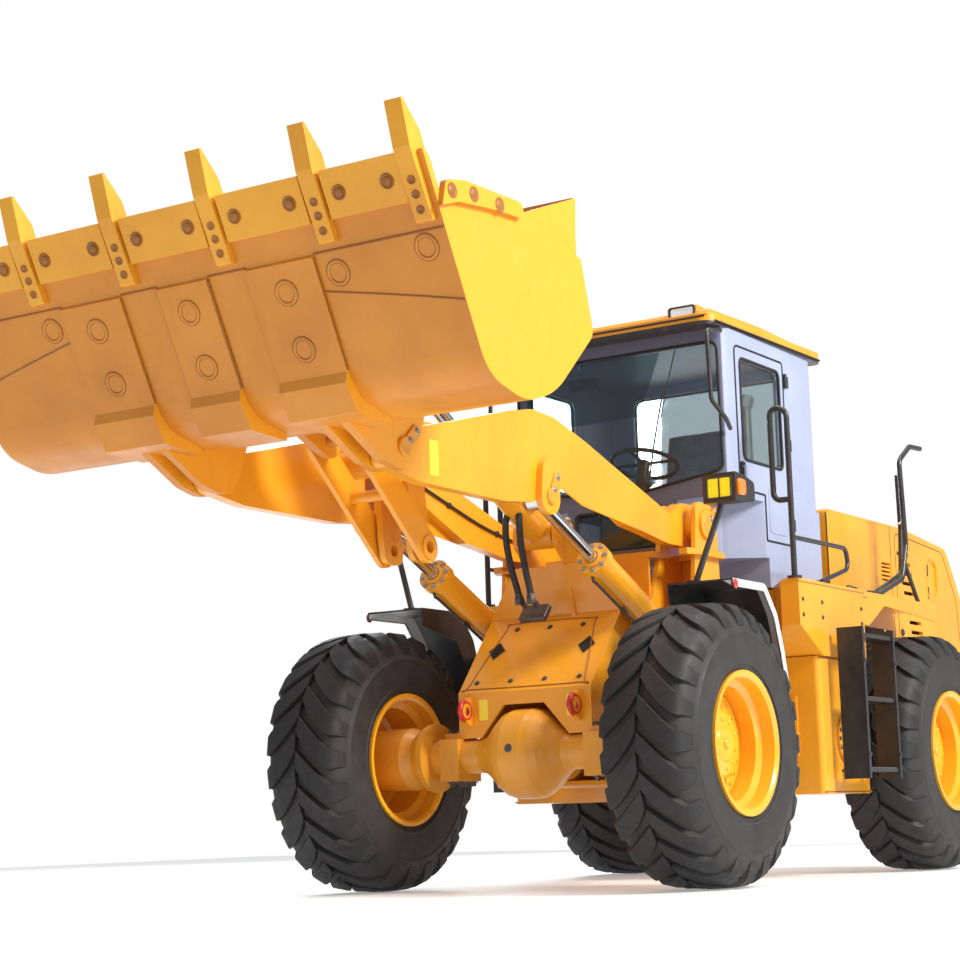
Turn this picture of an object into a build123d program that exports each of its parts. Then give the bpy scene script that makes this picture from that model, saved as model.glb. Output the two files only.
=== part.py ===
"""Articulated wheel loader with a raised, rolled-back bucket.

Units are millimetres.  +X points forwards, +Y to the machine's left, +Z up.
The dimensions below are measured from the front axle: x = 0 is the front
axle line, y = 0 the centre plane and z = 0 the ground.  Every piece is
shifted by X_SHIFT when it is written, so that the origin lies on the ground
under the middle of the machine's bounding box.
"""
import math
import os

from build123d import *

# ----------------------------------------------------------------- dimensions
WHEELBASE = 2970.0
TRACK = 2110.0
TYRE_R = 735.0
TYRE_HALF_W = 262.0
RIM_R = 373.0
RIM_HALF_W = 257.0
HINGE_X = -WHEELBASE / 2          # articulation joint

A = (-950.0, 2030.0)              # boom pivot on the tower
B = (2020.0, 2090.0)              # bucket pivot at the boom tip
C = (1700.0, 2240.0)              # link pin on the bucket
D = (1150.0, 1748.0)              # link pin on the bellcrank
E = (1200.0, 2280.0)              # bellcrank pivot on the boom
F = (1487.0, 2896.0)              # tilt cylinder pin on the bellcrank
G = (-200.0, 1950.0)              # tilt cylinder base
H = (690.0, 2010.0)               # lift cylinder pin on the boom
J = (-860.0, 1285.0)              # lift cylinder base
LIFT_Y = 512.0                    # centre plane of each lift cylinder
ARM_Y0, ARM_Y1 = 497.0, 562.0     # boom arm plate
STEER_K = (-2200.0, 330.0)        # steering cylinder base, plan view
STEER_M = (-1270.0, 360.0)        # steering cylinder rod pin, plan view
STEER_Z = 860.0

BUCKET_HALF_W = 1425.0
BUCKET_TILT = 62.6                # floor angle above horizontal
BUCKET_SEAM = (2865.0, 2829.0)    # front edge of the bucket floor
SHELL_T = 22.0

CAB_FRONT, CAB_REAR = -1110.0, -2370.0
CAB_HALF_W = 740.0
CAB_FLOOR, CAB_TOP = 1885.0, 3222.0
ROOF_TOP = 3330.0
DECK_Z = 1710.0                   # platform beside the cab

HOOD_HALF_W = 750.0
HOOD_TOP = 2280.0
REAR_END = -4900.0

X_SHIFT = 894.6


# -------------------------------------------------------------------- helpers
def _round_loop(pts):
    """Corner list (a, b[, r]) -> list of straight and arc pieces."""
    n = len(pts)
    pieces, ends = [], []
    for i in range(n):
        a0, b0 = pts[i - 1][:2]
        a1, b1 = pts[i][:2]
        a2, b2 = pts[(i + 1) % n][:2]
        r = pts[i][2] if len(pts[i]) > 2 else 0.0
        if r <= 0:
            ends.append(((a1, b1), (a1, b1), None))
            continue
        u = (a0 - a1, b0 - b1)
        v = (a2 - a1, b2 - b1)
        lu, lv = math.hypot(*u), math.hypot(*v)
        u = (u[0] / lu, u[1] / lu)
        v = (v[0] / lv, v[1] / lv)
        dot = max(-1.0, min(1.0, u[0] * v[0] + u[1] * v[1]))
        half = math.acos(dot) / 2
        if half > math.radians(89.5):
            ends.append(((a1, b1), (a1, b1), None))
            continue
        t = r / math.tan(half)
        t = min(t, 0.49 * lu, 0.49 * lv)
        r = t * math.tan(half)
        p = (a1 + u[0] * t, b1 + u[1] * t)
        q = (a1 + v[0] * t, b1 + v[1] * t)
        w = (u[0] + v[0], u[1] + v[1])
        lw = math.hypot(*w)
        w = (w[0] / lw, w[1] / lw)
        d = r / math.sin(half)
        c = (a1 + w[0] * d, b1 + w[1] * d)
        m = (c[0] - w[0] * r, c[1] - w[1] * r)
        ends.append((p, q, m))
    for i in range(n):
        p, q, m = ends[i]
        if m is not None:
            pieces.append(("arc", p, m, q))
        nxt = ends[(i + 1) % n][0]
        if math.hypot(nxt[0] - q[0], nxt[1] - q[1]) > 1e-4:
            pieces.append(("line", q, nxt))
    return pieces


def prism(plane, pts, lo, hi):
    """Extruded outline.  plane 'xz' runs along Y, 'xy' along Z, 'yz' along X."""
    def at(p):
        if plane == "xz":
            return Vector(p[0], lo, p[1])
        if plane == "xy":
            return Vector(p[0], p[1], lo)
        return Vector(lo, p[0], p[1])

    edges = []
    for piece in _round_loop(pts):
        if piece[0] == "line":
            edges.append(Edge.make_line(at(piece[1]), at(piece[2])))
        else:
            edges.append(Edge.make_three_point_arc(at(piece[1]), at(piece[2]), at(piece[3])))
    face = Face(Wire(edges))
    step = {"xz": Vector(0, hi - lo, 0), "xy": Vector(0, 0, hi - lo), "yz": Vector(hi - lo, 0, 0)}[plane]
    return Solid.extrude(face, step)


def block(x0, x1, y0, y1, z0, z1):
    return Solid.make_box(abs(x1 - x0), abs(y1 - y0), abs(z1 - z0),
                          Plane((min(x0, x1), min(y0, y1), min(z0, z1))))


def rod(p, q, r):
    """Round bar between two points."""
    p, q = Vector(*p), Vector(*q)
    return Solid.make_cylinder(r, (q - p).length, Plane(origin=p, z_dir=(q - p).normalized()))


def ycyl(c, r, y0, y1):
    """Cylinder along Y at c = (x, z)."""
    return Solid.make_cylinder(r, y1 - y0, Plane(origin=(c[0], y0, c[1]), z_dir=(0, 1, 0)))


def zcyl(x, y, r, z0, z1):
    return Solid.make_cylinder(r, z1 - z0, Plane(origin=(x, y, z0)))


def xcyl(y, z, r, x0, x1):
    return Solid.make_cylinder(r, x1 - x0, Plane(origin=(x0, y, z), z_dir=(1, 0, 0)))


def turned_y(profile, x, y, z):
    """Body of revolution about a line along Y; profile is (offset in y, radius)."""
    edges = []
    n = len(profile)
    for i in range(n):
        a, b = profile[i], profile[(i + 1) % n]
        if math.hypot(a[0] - b[0], a[1] - b[1]) > 1e-6:
            edges.append(Edge.make_line(Vector(a[1], a[0], 0), Vector(b[1], b[0], 0)))
    s = Solid.revolve(Face(Wire(edges)), 360.0, Axis.Y)
    return Pos(x, y, z) * s


def turned_curve_y(outer, inner, x, y, z):
    """Hollow turned body: two open curves through (offset, radius) points, closed at both ends."""
    so = Edge.make_spline([Vector(r, o, 0) for o, r in outer])
    si = Edge.make_spline([Vector(r, o, 0) for o, r in inner])
    e1 = Edge.make_line(Vector(outer[0][1], outer[0][0], 0), Vector(inner[0][1], inner[0][0], 0))
    e2 = Edge.make_line(Vector(outer[-1][1], outer[-1][0], 0), Vector(inner[-1][1], inner[-1][0], 0))
    s = Solid.revolve(Face(Wire([so, e1, si, e2])), 360.0, Axis.Y)
    return Pos(x, y, z) * s


def tube_path(pts, r, bend):
    """Round bar following a path of straight runs with rounded corners."""
    vs = [Vector(*p) for p in pts]
    edges = []
    start = vs[0]
    for i in range(1, len(vs) - 1):
        u = (vs[i - 1] - vs[i]).normalized()
        v = (vs[i + 1] - vs[i]).normalized()
        half = math.acos(max(-1, min(1, u.dot(v)))) / 2
        t = bend / math.tan(half)
        t = min(t, 0.45 * (vs[i - 1] - vs[i]).length, 0.45 * (vs[i + 1] - vs[i]).length)
        rr = t * math.tan(half)
        p, q = vs[i] + u * t, vs[i] + v * t
        w = (u + v).normalized()
        m = vs[i] + w * (rr / math.sin(half) - rr)
        edges.append(Edge.make_line(start, p))
        edges.append(Edge.make_three_point_arc(p, m, q))
        start = q
    edges.append(Edge.make_line(start, vs[-1]))
    path = Wire(edges)
    d = (vs[1] - vs[0]).normalized()
    section = Face(Wire([Edge.make_circle(r, Plane(origin=vs[0], z_dir=d))]))
    return Solid.sweep(section, path)


def flat(items):
    out = []
    for it in items:
        if it is None:
            continue
        if isinstance(it, (list, tuple, ShapeList)):
            out += flat(it)
        elif isinstance(it, Solid):
            out.append(it)
        else:
            out += list(it.solids())
    return out


def join(*items):
    """Union of solids."""
    s = flat(items)
    if len(s) == 1:
        return Compound(s)
    r = s[0].fuse(*s[1:])
    return Compound(flat([r]))


def cut(base, *tools):
    b = flat([base])
    t = flat(tools)
    out = []
    for s in b:
        out += flat([s.cut(*t)])
    return Compound(out)


def group(*items):
    """Separate solids that share one node."""
    return Compound(flat(items))


def mirror_y(obj):
    return Compound([s.mirror(Plane.XZ) for s in flat([obj])])


def both(obj):
    """The piece and its mirror image as separate solids."""
    return group(obj, mirror_y(obj))


def arc_pts(c, r, a0, a1, n=8):
    """Points on a circle, angles in degrees in the x-z plane."""
    return [(c[0] + r * math.cos(math.radians(a0 + (a1 - a0) * i / n)),
             c[1] + r * math.sin(math.radians(a0 + (a1 - a0) * i / n))) for i in range(n + 1)]


def hull(*circles):
    """Convex outline round circles (x, z, r), as corner points."""
    pts = []
    for (x, z, r) in circles:
        pts += [(x + r * math.cos(t * math.pi / 24), z + r * math.sin(t * math.pi / 24)) for t in range(48)]
    pts = sorted(set((round(p[0], 3), round(p[1], 3)) for p in pts))

    def half(seq):
        h = []
        for p in seq:
            while len(h) > 1 and ((h[-1][0] - h[-2][0]) * (p[1] - h[-2][1])
                                  - (h[-1][1] - h[-2][1]) * (p[0] - h[-2][0])) <= 0:
                h.pop()
            h.append(p)
        return h
    lo, up = half(pts), half(pts[::-1])
    return lo[:-1] + up[:-1]


def offset_open(pts, d):
    """Open polyline (a, b[, r]) moved sideways by d (left of travel is positive)."""
    n = len(pts)
    out = []
    for i in range(n):
        if i == 0:
            ux, uz = pts[1][0] - pts[0][0], pts[1][1] - pts[0][1]
            l = math.hypot(ux, uz)
            out.append((pts[0][0] - uz / l * d, pts[0][1] + ux / l * d))
            continue
        if i == n - 1:
            ux, uz = pts[-1][0] - pts[-2][0], pts[-1][1] - pts[-2][1]
            l = math.hypot(ux, uz)
            out.append((pts[-1][0] - uz / l * d, pts[-1][1] + ux / l * d))
            continue
        ax, az = pts[i][0] - pts[i - 1][0], pts[i][1] - pts[i - 1][1]
        bx, bz = pts[i + 1][0] - pts[i][0], pts[i + 1][1] - pts[i][1]
        la, lb = math.hypot(ax, az), math.hypot(bx, bz)
        na, nb = (-az / la, ax / la), (-bz / lb, bx / lb)
        k = 1 + na[0] * nb[0] + na[1] * nb[1]
        px = pts[i][0] + d * (na[0] + nb[0]) / k
        pz = pts[i][1] + d * (na[1] + nb[1]) / k
        turn = ax * bz - az * bx
        r = pts[i][2] if len(pts[i]) > 2 else 0
        if r > 0:
            r = max(2.0, r - d if turn > 0 else r + d)
        out.append((px, pz, r) if r > 0 else (px, pz))
    return out


def band(pts, d):
    """Closed outline of a plate of thickness |d| following an open polyline."""
    return list(pts) + offset_open(pts, d)[::-1]


NODES = {}

# --------------------------------------------------------------------- wheels
TYRE_OUTER = [(-236, 352), (-240, 395), (-254, 450), (-261, 530), (-257, 600), (-243, 655),
              (-222, 700), (-190, 722), (-100, 732), (0, TYRE_R), (100, 732), (190, 722),
              (222, 700), (243, 655), (257, 600), (261, 530), (254, 450), (240, 395), (236, 352)]
TYRE_INNER = [(-186, 352), (-196, 400), (-212, 480), (-214, 560), (-196, 625), (-150, 662),
              (0, 672), (150, 662), (196, 625), (214, 560), (212, 480), (196, 400), (186, 352)]


def make_wheel(x, side):
    y = side * TRACK / 2
    tyre = turned_curve_y(TYRE_OUTER, TYRE_INNER, x, y, TYRE_R)
    barrel = [(-RIM_HALF_W, RIM_R), (-240, RIM_R), (-238, 351.5), (-170, 351.5), (-150, 316),
              (150, 316), (170, 351.5), (238, 351.5), (240, RIM_R), (RIM_HALF_W, RIM_R),
              (RIM_HALF_W, 352), (246, 338), (176, 334), (156, 296), (-156, 296), (-176, 334),
              (-246, 338), (-RIM_HALF_W, 352)]
    barrel = turned_y(barrel, x, y, TYRE_R)
    s = side
    disc = turned_y([(s * 46, 150), (s * 46, 270), (s * 20, 300), (s * 44, 300), (s * 70, 276),
                     (s * 70, 150)], x, y, TYRE_R)
    hub = turned_y([(s * -64, 0), (s * -64, 172), (s * 40, 172), (s * 40, 215), (s * 46, 215),
                    (s * 46, 222), (s * 78, 222), (s * 78, 184), (s * 104, 180), (s * 118, 160),
                    (s * 124, 96), (s * 132, 84), (s * 132, 0)], x, y, TYRE_R)
    return tyre, join(barrel, disc, hub)


for tag, wx, side in (("front_left", 0.0, 1), ("front_right", 0.0, -1),
                      ("rear_left", -WHEELBASE, 1), ("rear_right", -WHEELBASE, -1)):
    t, r = make_wheel(wx, side)
    NODES["tyre_" + tag] = t
    NODES["rim_" + tag] = r


# ---------------------------------------------------------------------- axles
def make_axle(x, pinion_to):
    half = [(0, 245), (60, 245), (105, 232), (150, 198), (200, 150), (250, 108), (290, 95),
            (600, 95), (600, 190), (636, 190), (636, 160), (700, 150), (760, 175), (985, 175), (985, 0)]
    prof = [(-a, b) for a, b in half[:0:-1]] + half
    body = turned_y(prof, x, 0, TYRE_R)
    seat = both(block(x - 115, x + 115, 400, 520, 600, 832))
    pinion = xcyl(0, TYRE_R, 118, min(x, pinion_to), max(x, pinion_to))
    flange = xcyl(0, TYRE_R, 150, x + (pinion_to - x) * 0.78, x + (pinion_to - x) * 0.84) \
        if pinion_to > x else xcyl(0, TYRE_R, 150, x + (pinion_to - x) * 0.84, x + (pinion_to - x) * 0.78)
    return join(body, seat, pinion, flange)


NODES["front_axle"] = make_axle(0.0, -430.0)

rear_axle_body = make_axle(-WHEELBASE, -WHEELBASE + 430.0)
rear_trunnion = xcyl(0, TYRE_R, 120, -WHEELBASE - 400, -WHEELBASE)
NODES["rear_axle"] = join(rear_axle_body, rear_trunnion)

# ---------------------------------------------------------------- front frame
FF_SIDE = [(30, 862), (30, 1071), (-338, 1498), (-560, 1498), (-690, 1600), (-800, 1850), (-826, 2050),
           (-826, 2155, 110), (-1078, 2155, 110), (-1100, 1880), (-1100, 1190), (-1180, 1190), (-1180, 560),
           (-330, 560), (-250, 700), (-140, 862)]
ff_inner = prism("xz", FF_SIDE, 395, 425)
FF_TOWER = [(-735, 1150), (-735, 1300), (-800, 1850), (-826, 2050), (-826, 2155, 110), (-1078, 2155, 110),
            (-1100, 1880), (-1100, 1150)]
ff_outer = prism("xz", FF_TOWER, 625, 650)
ff_tower_rear = block(-1100, -1075, 420, 630, 1150, 1850)
ff_tower_floor = block(-1100, -985, 420, 630, 1140, 1165)
J_BOSS = join(ycyl(J, 95, 395, 434), ycyl(J, 95, 600, 652))
A_BOSS = join(ycyl(A, 85, 395, 428), ycyl(A, 85, 622, 668))
FOOT = block(-115, 53, 418, 520, 832.2, 864)
ff_side_all = join(ff_inner, ff_outer, ff_tower_rear, ff_tower_floor, J_BOSS, A_BOSS, FOOT)

apron = prism("xz", [(53, 832.2), (53, 1081), (-316, 1515), (-229, 1783), (-250, 1790), (-341, 1512),
                     (-338, 1500), (28, 1071), (28, 832.2)], -425, 425)
apron = cut(apron,
            prism("yz", [(-291, 820), (-129, 1006), (129, 1006), (291, 820)], -60, 120),
            prism("yz", [(430, 1500), (430, 1800), (200, 1800), (430, 1512)], -420, -180),
            prism("yz", [(-430, 1500), (-430, 1800), (-200, 1800), (-430, 1512)], -420, -180))
deck = block(-1150, -330, -400, 400, 1475, 1500)
closure = block(-720, -700, -400, 400, 1490, 1850)
cross_plate = cut(prism("xy", [(-1100, -690), (-1100, 690), (-790, 690), (-704, 650), (-704, -650), (-790, -690)],
                        1840, 1875),
                  block(-1000, -600, 432, 598, 1800, 1900), block(-1000, -600, -598, -432, 1800, 1900))
rear_plate = block(-1180, -1150, -425, 425, 560, 1500)
belly = block(-1180, -330, -400, 400, 560, 585)
LUG = [(-1160, -260), (-1160, 260), (-1270, 260, 60), (HINGE_X - 20, 108, 60), (HINGE_X - 108, 30, 60),
       (HINGE_X - 108, -30, 60), (HINGE_X - 20, -108, 60), (-1270, -260, 60)]
lugs = [cut(join(prism("xy", LUG, z0, z1), zcyl(HINGE_X, 0, 110, z0, z1)), zcyl(HINGE_X, 0, 46, z0 - 5, z1 + 5))
        for z0, z1 in ((590, 650), (1130, 1190))]
TILT_TOWER = [(-300, 1495), (-238, 1785), (-112, 1895, 40), (-112, 2038, 85), (-288, 2038, 85), (-470, 1750),
              (-520, 1495)]
tilt_tower = [prism("xz", TILT_TOWER, 115, 140), ycyl(G, 70, 106, 150)]
tow_eye = cut(prism("xz", [(40, 900), (40, 1058), (80, 1058, 20), (150, 1010, 40), (150, 948, 40), (80, 900, 20)],
                    335, 365), ycyl((100, 979), 26, 320, 380))
steer_lug = join(*[cut(prism("xy", [(-1170, 290), (-1170, 425), (-1270, 402, 30), (-1308, 380, 20),
                                    (-1308, 340, 20), (-1270, 318, 30)], z0, z1),
                       zcyl(STEER_M[0], STEER_M[1], 16, z0 - 5, z1 + 5))
                   for z0, z1 in ((800, 820), (900, 920))])
ff = join(ff_side_all, mirror_y(ff_side_all), apron, deck, closure, cross_plate, rear_plate, belly, lugs,
          tilt_tower, mirror_y(join(*tilt_tower)), both(tow_eye), both(steer_lug))
ff_pins = [ycyl(G, 31.5, -145, 145), both(ycyl(A, 44.5, 400, 660)), both(ycyl(J, 39.5, 400, 656))]
NODES["front_frame"] = join(ff, ff_pins)

# --------------------------------------------------------------- front fenders
FENDER = [(-160, 1610), (-555, 1610, 60), (-690, 1453, 120), (-760, 1250, 60), (-812, 1040)]
fender = prism("xz", band(FENDER, 10.0), 800, 1190)
fender_lip = prism("xz", band([(-160, 1604), (-552, 1604, 60), (-686, 1450, 120), (-752, 1250, 60), (-805, 1040)],
                              36.0), 1182, 1190)
fender_side = prism("xz", [(-160, 1608), (-553, 1608, 60), (-688, 1453, 120), (-735, 1320), (-735, 1296),
                           (-600, 1296), (-500, 1440, 60), (-160, 1500)], 800, 808)
fender_arm = prism("xz", [(-760, 1300), (-760, 1340), (-660, 1340), (-660, 1300)], 651, 806)
fender_foot = block(-760, -738, 651, 700, 1240, 1345)
NODES["front_fenders"] = both(join(fender, fender_lip, fender_side, fender_arm, fender_foot))

# ------------------------------------------------------------------ work lamps
lamp_post = join(rod((-240, 930, 1606), (-300, 1085, 2045), 17), block(-275, -205, 895, 965, 1611, 1622))
lamp_box = cut(prism("xz", [(-200, 2026), (-200, 2184), (-300, 2180, 20), (-440, 2150, 30), (-440, 2046, 30),
                            (-300, 2026, 20)], 1020, 1212),
               prism("yz", [(1036, 2042, 10), (1036, 2168, 10), (1196, 2168, 10), (1196, 2042, 10)], -214, -190))
lamp_post = cut(lamp_post, block(-520, 0, 600, 1400, 1500, 1611))
NODES["work_lamps"] = both(join(lamp_post, lamp_box))
NODES["lamp_lenses"] = both(prism("yz", [(1038, 2044, 10), (1038, 2166, 10), (1194, 2166, 10), (1194, 2044, 10)],
                                  -214, -206))

# ----------------------------------------------------------------------- boom
ARM = [(2027, 1985, 10), (1809, 1955, 200), (1063, 1949, 400), (790, 1975, 60), (700, 2070, 20), (500, 2072, 60),
       (300, 2010, 100), (-380, 1936, 200), (-640, 1902, 60), (-700, 1900), (-950, 1900), (-1080, 1900, 125),
       (-1080, 2160, 125), (-815, 2150, 60), (-688, 2070, 60), (261, 2364, 300), (576, 2448, 250), (794, 2458, 250),
       (1037, 2411, 300), (1443, 2310, 300), (1900, 2198, 60), (2126, 2196, 100), (2126, 2000, 90)]
arm = prism("xz", ARM, ARM_Y0, ARM_Y1)
boss_h = prism("xz", hull((H[0], H[1], 92), (H[0] - 10, H[1] + 120, 85)), ARM_Y1, ARM_Y1 + 38)
# pocket in the inner side of the arm, where the lift rod swings
pocket = prism("xz", [(H[0] + 110, 1890), (H[0] + 110, 2255), (H[0] + 80, 2325), (H[0] - 120, 2325),
                      (H[0] - 200, 2232), (-180, 1958), (-180, 1860)], ARM_Y0 - 2, ARM_Y1 - 9)
cheek = prism("xz", hull((H[0], H[1], 78), (H[0] - 20, 2380, 70)), 450, 466)
cheek_pad = prism("xz", hull((H[0] - 20, 2360, 48), (H[0] - 20, 2390, 48)), 460, ARM_Y0 + 4)
tail_hub = ycyl(A, 95, 434, 618)
tip_boss = ycyl(B, 104, ARM_Y0, ARM_Y1)
arm_side = cut(join(arm, boss_h, tail_hub, tip_boss), pocket)
arm_side = join(arm_side, cheek, cheek_pad)
arm_side = cut(arm_side, ycyl(H, 30, 400, 640), ycyl(A, 45, 400, 660), ycyl(B, 38, 400, 640))
cross_tube = cut(ycyl((1008, 2250), 78, -ARM_Y0 - 6, ARM_Y0 + 6), ycyl((1008, 2250), 62, -ARM_Y0 - 4, ARM_Y0 + 4))
E_LUG = [(985, 2190), (1090, 2160, 60), (1230, 2175, 60), (1318, 2230, 90), (1318, 2330, 90), (1240, 2392, 80),
         (1060, 2392, 60), (965, 2320, 30)]
e_lugs = cut(join(prism("xz", E_LUG, 118, 150), prism("xz", E_LUG, -150, -118)), ycyl(E, 40, -200, 200),
             ycyl((1008, 2250), 70, -200, 200))
e_lugs = join(e_lugs, ycyl(E, 40.5, 117, 156), ycyl(E, 40.5, -156, -117), ycyl(E, 37.5, -150, 150))
NODES["boom"] = join(arm_side, mirror_y(arm_side), cross_tube, e_lugs)

# ------------------------------------------------------------------ bellcrank
BELL = [(D[0] - 84, D[1] + 10, 60), (D[0] - 70, D[1] - 70, 60), (D[0] + 70, D[1] - 70, 60), (D[0] + 96, D[1] + 60, 100),
        (1262, 2130, 200), (1335, 2270, 200), (1470, 2560, 200), (F[0] + 84, F[1] - 30, 60), (F[0] + 60, F[1] + 72, 60),
        (F[0] - 60, F[1] + 72, 60), (F[0] - 100, F[1] - 60, 60), (1290, 2600, 200), (1142, 2330, 200), (1128, 2180, 200)]
bell_plate = prism("xz", BELL, 68, 102)
bell = join(bell_plate, mirror_y(bell_plate), ycyl(E, 66, -112, 112), ycyl(D, 62, -104, -66), ycyl(D, 62, 66, 104),
            ycyl(F, 66, 66, 112), ycyl(F, 66, -112, -66), ycyl((1205, 2010), 34, -70, 70))
NODES["bellcrank"] = cut(bell, ycyl(E, 38, -200, 200), ycyl(D, 30, -200, 200), ycyl(F, 30, -200, 200))

# ---------------------------------------------------------------- bucket link
link_plate = prism("xz", hull((D[0], D[1], 80), (C[0], C[1], 80)), 118, 146)
link_cut = [ycyl(C, 31, 100, 170), ycyl(D, 31, 100, 170)]
link = cut(join(link_plate, ycyl(C, 60, 108, 152), ycyl(D, 60, 110, 156)), link_cut)
tie = ycyl(((C[0] + D[0]) / 2, (C[1] + D[1]) / 2), 30, -120, 120)
NODES["bucket_link"] = join(link, mirror_y(link), tie)


# --------------------------------------------------------------------- bucket
_ct, _st = math.cos(math.radians(BUCKET_TILT)), math.sin(math.radians(BUCKET_TILT))


def tip(p):
    """Point given along the bucket floor and up from it -> machine x, z."""
    s, t = p[0], p[1]
    q = (BUCKET_SEAM[0] + s * _ct - t * _st, BUCKET_SEAM[1] + s * _st + t * _ct)
    return (q[0], q[1], p[2]) if len(p) > 2 else q


def bprism(pts, y0, y1):
    return prism("xz", [tip(p) for p in pts], y0, y1)


def to_bucket(q):
    dx, dz = q[0] - BUCKET_SEAM[0], q[1] - BUCKET_SEAM[1]
    return (dx * _ct + dz * _st, -dx * _st + dz * _ct)


SHELL = [(20, 0), (-680, 0, 250), (-885, 240, 350), (-925, 500, 500), (-800, 965, 70), (-457, 1036)]
SIDE = [(120, 0), (90, 120), (-100, 600, 200), (-457, 1036), (-800, 965, 70), (-925, 500, 500), (-885, 240, 350),
        (-680, 0, 250)]
outer = bprism(SIDE, -BUCKET_HALF_W, BUCKET_HALF_W)
lip = bprism([(-60, 0), (302, 0), (302, 10), (262, 36), (-60, 36)], -BUCKET_HALF_W, BUCKET_HALF_W)
STRAP = [(-30, 4), (-40, -18), (-560, -18), (-600, -48, 8), (-745, -34, 10), (-790, 40, 20), (-878, 192), (-842, 210),
         (-715, 66), (-600, 6)]
strap_mid = bprism(STRAP, -145, 145)
strap_out = bprism(STRAP, 370, 740)
bB, bC = to_bucket(B), to_bucket(C)
LUG_B = [(bB[0] - 60, bB[1] + 95, 50), (-925, 700, 40), (-850, 730), (-840, 300), (-740, 118), (-790, 50, 20),
         (bB[0] + 10, bB[1] - 190, 120), (bB[0] - 70, bB[1] - 95, 60), (bB[0] - 112, bB[1], 70)]
lug_b = [bprism(LUG_B, 452, 491), bprism(LUG_B, 568, 612)]
LUG_C = [(bC[0] - 10, bC[1] + 86, 60), (-822, 925), (-850, 560), (-918, 552, 20), (bC[0] - 20, bC[1] - 84, 60),
         (bC[0] - 88, bC[1] - 20, 60), (bC[0] - 84, bC[1] + 60, 60)]
lug_c = [bprism(LUG_C, 56, 102)]
half_b = join(strap_out, *lug_b, *lug_c)
cavity = bprism([(420, 30), (-60, 30)] + offset_open(SHELL, -SHELL_T)[1:-1]
                + [(-440, 1018), (-300, 1330), (600, 1330)], -BUCKET_HALF_W + 24, BUCKET_HALF_W - 24)
bucket = cut(join(outer, lip, strap_mid, half_b, mirror_y(half_b)), cavity)
cutter = bprism([(60, -10), (150, 70, 30), (110, 210, 60), (-90, 620, 40), (-160, 600, 30), (-60, 380, 100), (40, 120)],
                BUCKET_HALF_W - 4, BUCKET_HALF_W + 25)
gusset = bprism([(-470, 1010), (-198, 1176), (-136, 634), (-400, 900)], BUCKET_HALF_W - 42, BUCKET_HALF_W - 20)
guard = bprism([(-520, 1018), (-200, 1180), (-192, 1165), (-480, 1000)], -BUCKET_HALF_W + 30, BUCKET_HALF_W - 30)
bucket_pins = [both(ycyl(B, 37.5, 452, 618)), ycyl(C, 30.5, -150, 150)]
NODES["bucket"] = join(bucket, both(cutter), both(gusset), guard, bucket_pins)

# edge teeth and bolt-on edge segments
TOOTH = [(0, 0), (10, -30, 10), (330, -40, 20), (525, -4), (525, 8), (372, 66, 20), (130, 60, 10), (112, 30.2),
         (302.4, 30.2), (302.4, 0)]
teeth = []
for ty in (283.0, 850.0, 1354.0):
    teeth += [bprism(TOOTH, ty - 42, ty + 42), bprism(TOOTH, -ty - 42, -ty + 42)]
for y0, y1 in ((-226, 226), (340, 793), (907, 1306)):
    seg = bprism([(100, -26), (312, -26), (312, -8), (302, 0), (100, 0)], y0, y1)
    teeth.append(seg)
    if y0 > 0:
        teeth.append(bprism([(100, -26), (312, -26), (312, -8), (302, 0), (100, 0)], -y1, -y0))
NODES["bucket_teeth"] = group(teeth)


# ------------------------------------------------------------------ cylinders
def in_plane(p, q, s, n):
    """Point s along the line p-q and n to its left (x-z plane)."""
    l = math.hypot(q[0] - p[0], q[1] - p[1])
    u = ((q[0] - p[0]) / l, (q[1] - p[1]) / l)
    return (p[0] + u[0] * s - u[1] * n, p[1] + u[1] * s + u[0] * n)


def cylinder(p, q, y, barrel_end, r_barrel, r_gland, r_rod, eye_r, base_w, eye_w, rod_from, pin_r):
    l = math.hypot(q[0] - p[0], q[1] - p[1])

    def pt(s):
        a = in_plane(p, q, s, 0)
        return (a[0], y, a[1])
    base = cut(join(ycyl(p, r_barrel * 0.86, y - base_w / 2, y + base_w / 2), rod(pt(20), pt(120), r_barrel * 0.8)),
               ycyl(p, pin_r, y - base_w, y + base_w))
    tube = join(rod(pt(95), pt(barrel_end), r_barrel), rod(pt(barrel_end - 58), pt(barrel_end), r_gland))
    barrel = cut(join(base, tube), rod(pt(115), pt(barrel_end + 20), r_rod + 0.5))
    stem = rod(pt(rod_from), pt(l - eye_r * 0.7), r_rod)
    eye = cut(join(stem, ycyl(q, eye_r, y - eye_w / 2, y + eye_w / 2)), ycyl(q, pin_r * 0.9, y - eye_w, y + eye_w))
    return barrel, eye


for tag, sgn in (("left", 1), ("right", -1)):
    b, r = cylinder(J, H, LIFT_Y, 1100, 82, 95, 36, 62, 150, 70, 530, 40)
    NODES["lift_barrel_" + tag] = b if sgn > 0 else mirror_y(b)
    NODES["lift_rod_" + tag] = r if sgn > 0 else mirror_y(r)
tb, tr = cylinder(G, F, 0.0, 960, 84, 98, 38, 62, 190, 112, 700, 32)
NODES["tilt_barrel"] = tb
NODES["tilt_rod"] = tr


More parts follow.
